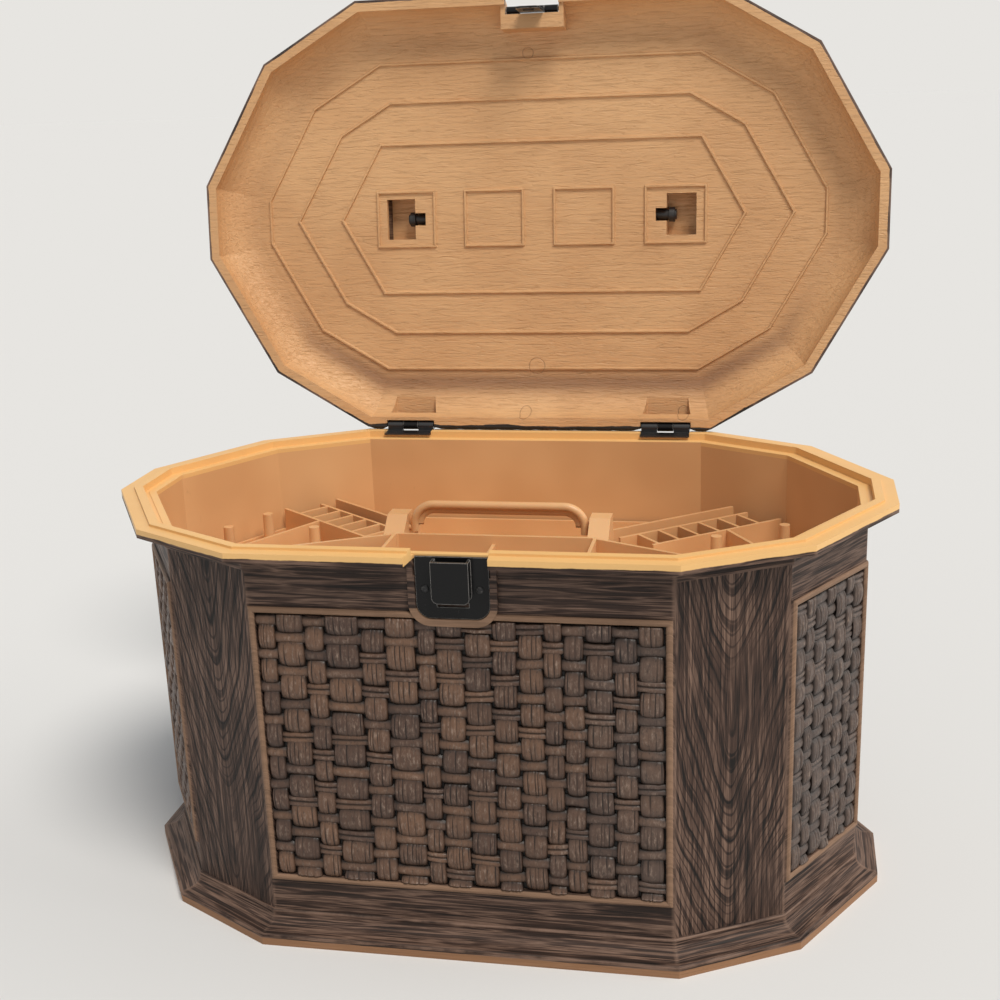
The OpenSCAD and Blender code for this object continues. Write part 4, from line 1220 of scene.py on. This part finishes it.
@dataclass
class BoxBody:
    """The box: its shell and its six woven panels."""

    plan: Plan
    tan: TanPlastic
    long_shares: tuple[float, ...] = (9, 14, 10, 17, 12, 15, 9, 13, 13, 12, 12, 9, 10, 13, 11, 12)
    short_shares: tuple[float, ...] = (10, 9, 12, 9, 11, 8, 10)
    order: tuple[Side, ...] = (
        Side.FRONT, Side.REAR, Side.RIGHT_FRONT, Side.RIGHT_REAR, Side.LEFT_FRONT, Side.LEFT_REAR,
    )
    border_half: float = 19.3 * MM
    border_below: float = 1.5 * MM
    first_seed: int = 11

    def build(self) -> None:
        """Dresses the shell and builds the panels."""
        paint = PaintedWood(self.plan)
        dress("box_shell", paint.box_material(self.tan))
        LOG.info("box_shell: painted outside, bare inside")
        woven = WovenFinish().material()
        border = (self.border_half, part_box("latch_keeper")[0].z - self.border_below)
        for number, side in enumerate(self.order):
            shares = self.long_shares if side.is_long else self.short_shares
            notch = border if side is Side.FRONT else None
            WovenPanel(side, shares, self.first_seed + number, notch).build(self.plan, woven)


@dataclass
class Lid:
    """The hinged lid: its shell and the painted bead along its back edge."""

    plan: Plan
    tan: TanPlastic
    place: LidPlace
    bead_runs: tuple[tuple[float, float], ...] = (
        (-104.6 * MM, -93.4 * MM), (-63.0 * MM, 63.0 * MM), (93.4 * MM, 104.6 * MM),
    )
    bead_out: float = 1.5 * MM
    bead_low: float = 208.9 * MM
    bead_high: float = 211.4 * MM
    bead_sunk: float = 0.1 * MM
    bead_step: float = 4 * MM
    bead_rounds: int = 8

    def build(self) -> None:
        """Dresses the lid's shell and adds the bead along its back edge."""
        finish = PaintedWood(self.plan)
        dress("lid_shell", finish.lid_material(self.tan, self.place))
        LOG.info("lid_shell: painted outside, bare inside")
        self.add_back_bead(finish.edge_material())

    def add_back_bead(self, material: bpy.types.Material) -> None:
        """Adds the painted half-round bead along the lid's back edge, broken at the hinges.

        Args:
            material: The paint of thin edges.
        """
        sheet = Sheet()
        middle, half = (self.bead_low + self.bead_high) / 2, (self.bead_high - self.bead_low) / 2
        turns = [math.pi * (n / self.bead_rounds - 0.5) for n in range(self.bead_rounds + 1)]
        back = self.plan.half_depth - self.bead_sunk
        for start, end in self.bead_runs:
            count = max(4, round((end - start) / self.bead_step))
            rows = []
            for n in range(count + 1):
                x = start + (end - start) * n / count
                fat = 0.15 if n in (0, count) else 1 - 0.12 * (n % 3 == 1)
                out = self.bead_out * fat
                rows.append([
                    Vector((x, back + out * math.cos(a), middle + half * math.sin(a)))
                    for a in turns
                ])
            sheet.grid(rows)
        piece = sheet.build("lid_back_bead", material, self.place.matrix)
        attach(piece, "lid")
        LOG.info("%s: %d faces", piece.name, len(sheet.faces))


def dress(node: str, material: bpy.types.Material) -> None:
    """Gives a CAD node its finish.

    Args:
        node: The node's name.
        material: The finish.
    """
    slots = bpy.data.objects[node].data.materials
    slots.clear()
    slots.append(material)


@dataclass
class Hardware:
    """Hinges, latch, pins, rivets and the carrying handle."""

    enamelled: tuple[str, ...] = (
        "latch_keeper", "latch_plate", "latch_tongue",
        "left_hinge_lid_leaf", "right_hinge_lid_leaf",
    )
    lacquered: tuple[str, ...] = ("left_hinge_box_leaf", "right_hinge_box_leaf")
    steel: tuple[str, ...] = (
        "keeper_rivets", "left_hinge_pin", "right_hinge_pin", "hinge_box_rivets",
        "hinge_lid_rivets", "latch_plate_rivets", "latch_pin",
    )
    plastic: tuple[str, ...] = ("carry_handle", "left_handle_cap", "right_handle_cap")

    def build(self) -> None:
        """Dresses the hardware."""
        for nodes, finish in (
            (self.enamelled, Enamel().material()),
            (self.lacquered, HingeLacquer().material()),
            (self.steel, PinSteel().material()),
            (self.plastic, HandlePlastic().material()),
        ):
            for node in nodes:
                dress(node, finish)
                LOG.info("%s: %s", node, finish.name)


@dataclass
class Tray:
    """The lift-out tray and its handle, whose bar and web are given by their radius and width."""

    tan: TanPlastic
    mouldings: tuple[str, ...] = (
        "tray", "tray_rim", "tray_middle", "left_bobbin_rack", "right_bobbin_rack", "tray_handle",
    )
    bar: float = 2.3 * MM
    bar_x: float = 46.1 * MM
    bend: float = 11 * MM
    web: float = 2.6 * MM
    web_half: float = 0.7 * MM
    web_foot: float = 186.2 * MM
    web_edge: float = 0.4 * MM
    bend_steps: int = 10

    def build(self) -> None:
        """Dresses the tray and its handle."""
        material = self.tan.material("tray_plastic")
        for node in self.mouldings:
            dress(node, material)
            LOG.info("%s: %s", node, material.name)
        self.add_web(material)

    def add_web(self, material: bpy.types.Material) -> None:
        """Adds the thin web along the inside of the tray handle's bar.

        Args:
            material: The tray's plastic.
        """
        low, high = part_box("tray_handle")
        top, outer, bend, depth = high.z - self.bar, self.bar_x, self.bend, self.bar + self.web
        # The bar's middle line, from foot to foot over both bends
        arc = [math.pi / 2 * n / self.bend_steps for n in range(self.bend_steps + 1)]
        right = [
            (outer - bend + bend * math.sin(a), top - bend + bend * math.cos(a), a) for a in arc
        ]
        path = [(-x, z, -a) for x, z, a in reversed(right)] + right
        path = [(-outer, self.web_foot, -math.pi / 2), *path, (outer, self.web_foot, math.pi / 2)]
        sheet = Sheet()
        middle = (low.y + high.y) / 2
        inner = depth - self.web_edge
        ring = ((0.0, -1), (inner, -1), (depth, 0), (inner, 1), (0.0, 1))
        rows = [
            [Vector((x - away * math.sin(a), middle + side * self.web_half, z - away * math.cos(a)))
             for away, side in ring]
            for x, z, a in path
        ]
        sheet.grid(rows)
        piece = sheet.build("tray_handle_web", material, Matrix())
        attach(piece, "tray_grip")
        LOG.info("%s: %d faces", piece.name, len(sheet.faces))


@dataclass
class Studio:
    """Floor, light and camera; a way is where a lamp's light goes, and a spread is in degrees."""

    backdrop: Colour = (0.799, 0.783, 0.753)
    floor_half: float = 30.0
    sky_colour: Colour = (0.94, 0.97, 1.0)
    sky_strength: float = 0.34
    sun_colour: Colour = (1.0, 0.955, 0.89)
    sun_strength: float = 2.32
    sun_spread: float = 24
    sun_way: tuple[float, float, float] = (-0.45, 0.50, -1.0)
    side_strength: float = 0.85
    side_spread: float = 48
    side_way: tuple[float, float, float] = (-0.90, -0.18, -0.42)
    camera_place: tuple[float, float, float] = (146.7 * MM, -718.53 * MM, 408.86 * MM)
    yaw: float = math.radians(-11.917)
    pitch: float = math.radians(-17.339)
    roll: float = math.radians(-2.244)
    lens: float = 51.87
    sensor: float = 36
    shift: tuple[float, float] = (0.0096, 0.0364)

    def build(self) -> None:
        """Sets up the studio."""
        self.make_floor()
        self.make_light()
        self.make_camera()

    @property
    def level(self) -> Colour:
        """Light that reaches the open floor, by colour, where 1 shows a colour as it is written."""
        sun = self.sun_strength * -Vector(self.sun_way).normalized().z / math.pi
        sun += self.side_strength * -Vector(self.side_way).normalized().z / math.pi
        both = zip(self.sky_colour, self.sun_colour)
        return tuple(self.sky_strength * sky + sun * direct for sky, direct in both)

    def make_floor(self) -> None:
        """Adds a wide plain floor that shows the backdrop's colour where no shadow falls."""
        half = self.floor_half
        mesh = bpy.data.meshes.new("floor")
        corners = [(-half, -half, 0), (half, -half, 0), (half, half, 0), (-half, half, 0)]
        mesh.from_pydata(corners, [], [(0, 1, 2, 3)])
        shader = Shader("floor_finish")
        colour = tuple(shown / lit for shown, lit in zip(self.backdrop, self.level))
        shader.set(Base_Color=colour, Roughness=1.0, Specular_IOR_Level=0.0)
        mesh.materials.append(shader.material)
        floor = bpy.data.objects.new("floor", mesh)
        bpy.context.scene.collection.objects.link(floor)

    def make_light(self) -> None:
        """Adds an even sky, a broad sun from the upper right and a weak, low one from the right.

        The sky lights the object; the camera, gloss and glass see the plain backdrop in its place.
        """
        world = bpy.data.worlds.new("daylight")
        bpy.context.scene.world = world
        world.use_nodes = True
        sky = Nodes(world.node_tree)
        lit = sky.add("ShaderNodeBackground", inputs={0: self.sky_colour, 1: self.sky_strength})
        seen = sky.add("ShaderNodeBackground", inputs={0: self.backdrop, 1: 1.0})
        camera = sky.add("ShaderNodeLightPath", output="Is Camera Ray")
        gloss, glass = camera.sister("Is Glossy Ray"), camera.sister("Is Transmission Ray")
        direct = camera.most(gloss).most(glass)
        both = sky.add("ShaderNodeMixShader", inputs={0: direct, 1: lit, 2: seen})
        sky.add("ShaderNodeOutputWorld", inputs={0: both})
        self.add_sun("window", self.sun_strength, self.sun_spread, self.sun_way)
        self.add_sun("side_light", self.side_strength, self.side_spread, self.side_way)

    def add_sun(
        self, name: str, strength: float, spread: float, direction: tuple[float, float, float]
    ) -> None:
        """Adds a sun lamp.

        Args:
            name: The lamp's name.
            strength: Its strength.
            spread: Its apparent size in degrees.
            direction: Which way its light goes.
        """
        lamp = bpy.data.lights.new(name, "SUN")
        lamp.energy, lamp.angle, lamp.color = strength, math.radians(spread), self.sun_colour
        holder = bpy.data.objects.new(name, lamp)
        holder.rotation_mode = "QUATERNION"
        holder.rotation_quaternion = Vector(direction).to_track_quat("-Z", "Y")
        bpy.context.scene.collection.objects.link(holder)

    def make_camera(self) -> None:
        """Adds the camera where the picture was taken from."""
        data = bpy.data.cameras.new("camera")
        data.sensor_width, data.lens = self.sensor, self.lens
        data.shift_x, data.shift_y = self.shift
        ahead = Vector((
            math.sin(self.yaw) * math.cos(self.pitch),
            math.cos(self.yaw) * math.cos(self.pitch),
            math.sin(self.pitch),
        ))
        right = ahead.cross(Vector((0, 0, 1))).normalized()
        up = right.cross(ahead)
        level = right * math.cos(self.roll) + up * math.sin(self.roll)
        upright = up * math.cos(self.roll) - right * math.sin(self.roll)
        turned = Matrix((level, upright, -ahead)).transposed().to_4x4()
        camera = bpy.data.objects.new("camera", data)
        camera.matrix_world = Matrix.Translation(self.camera_place) @ turned
        bpy.context.scene.collection.objects.link(camera)
        bpy.context.scene.camera = camera


def main() -> None:
    """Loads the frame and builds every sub-assembly."""
    logging.basicConfig(level=logging.INFO, format="%(name)s %(message)s")
    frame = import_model()
    bpy.context.scene.view_settings.view_transform = "Standard"
    plan, tan = Plan.from_frame(), TanPlastic()
    Studio().build()
    BoxBody(plan, tan).build()
    Lid(plan, tan, LidPlace.from_frame(frame["joints"])).build()
    Hardware().build()
    Tray(tan).build()


if __name__ == "__main__":
    main()
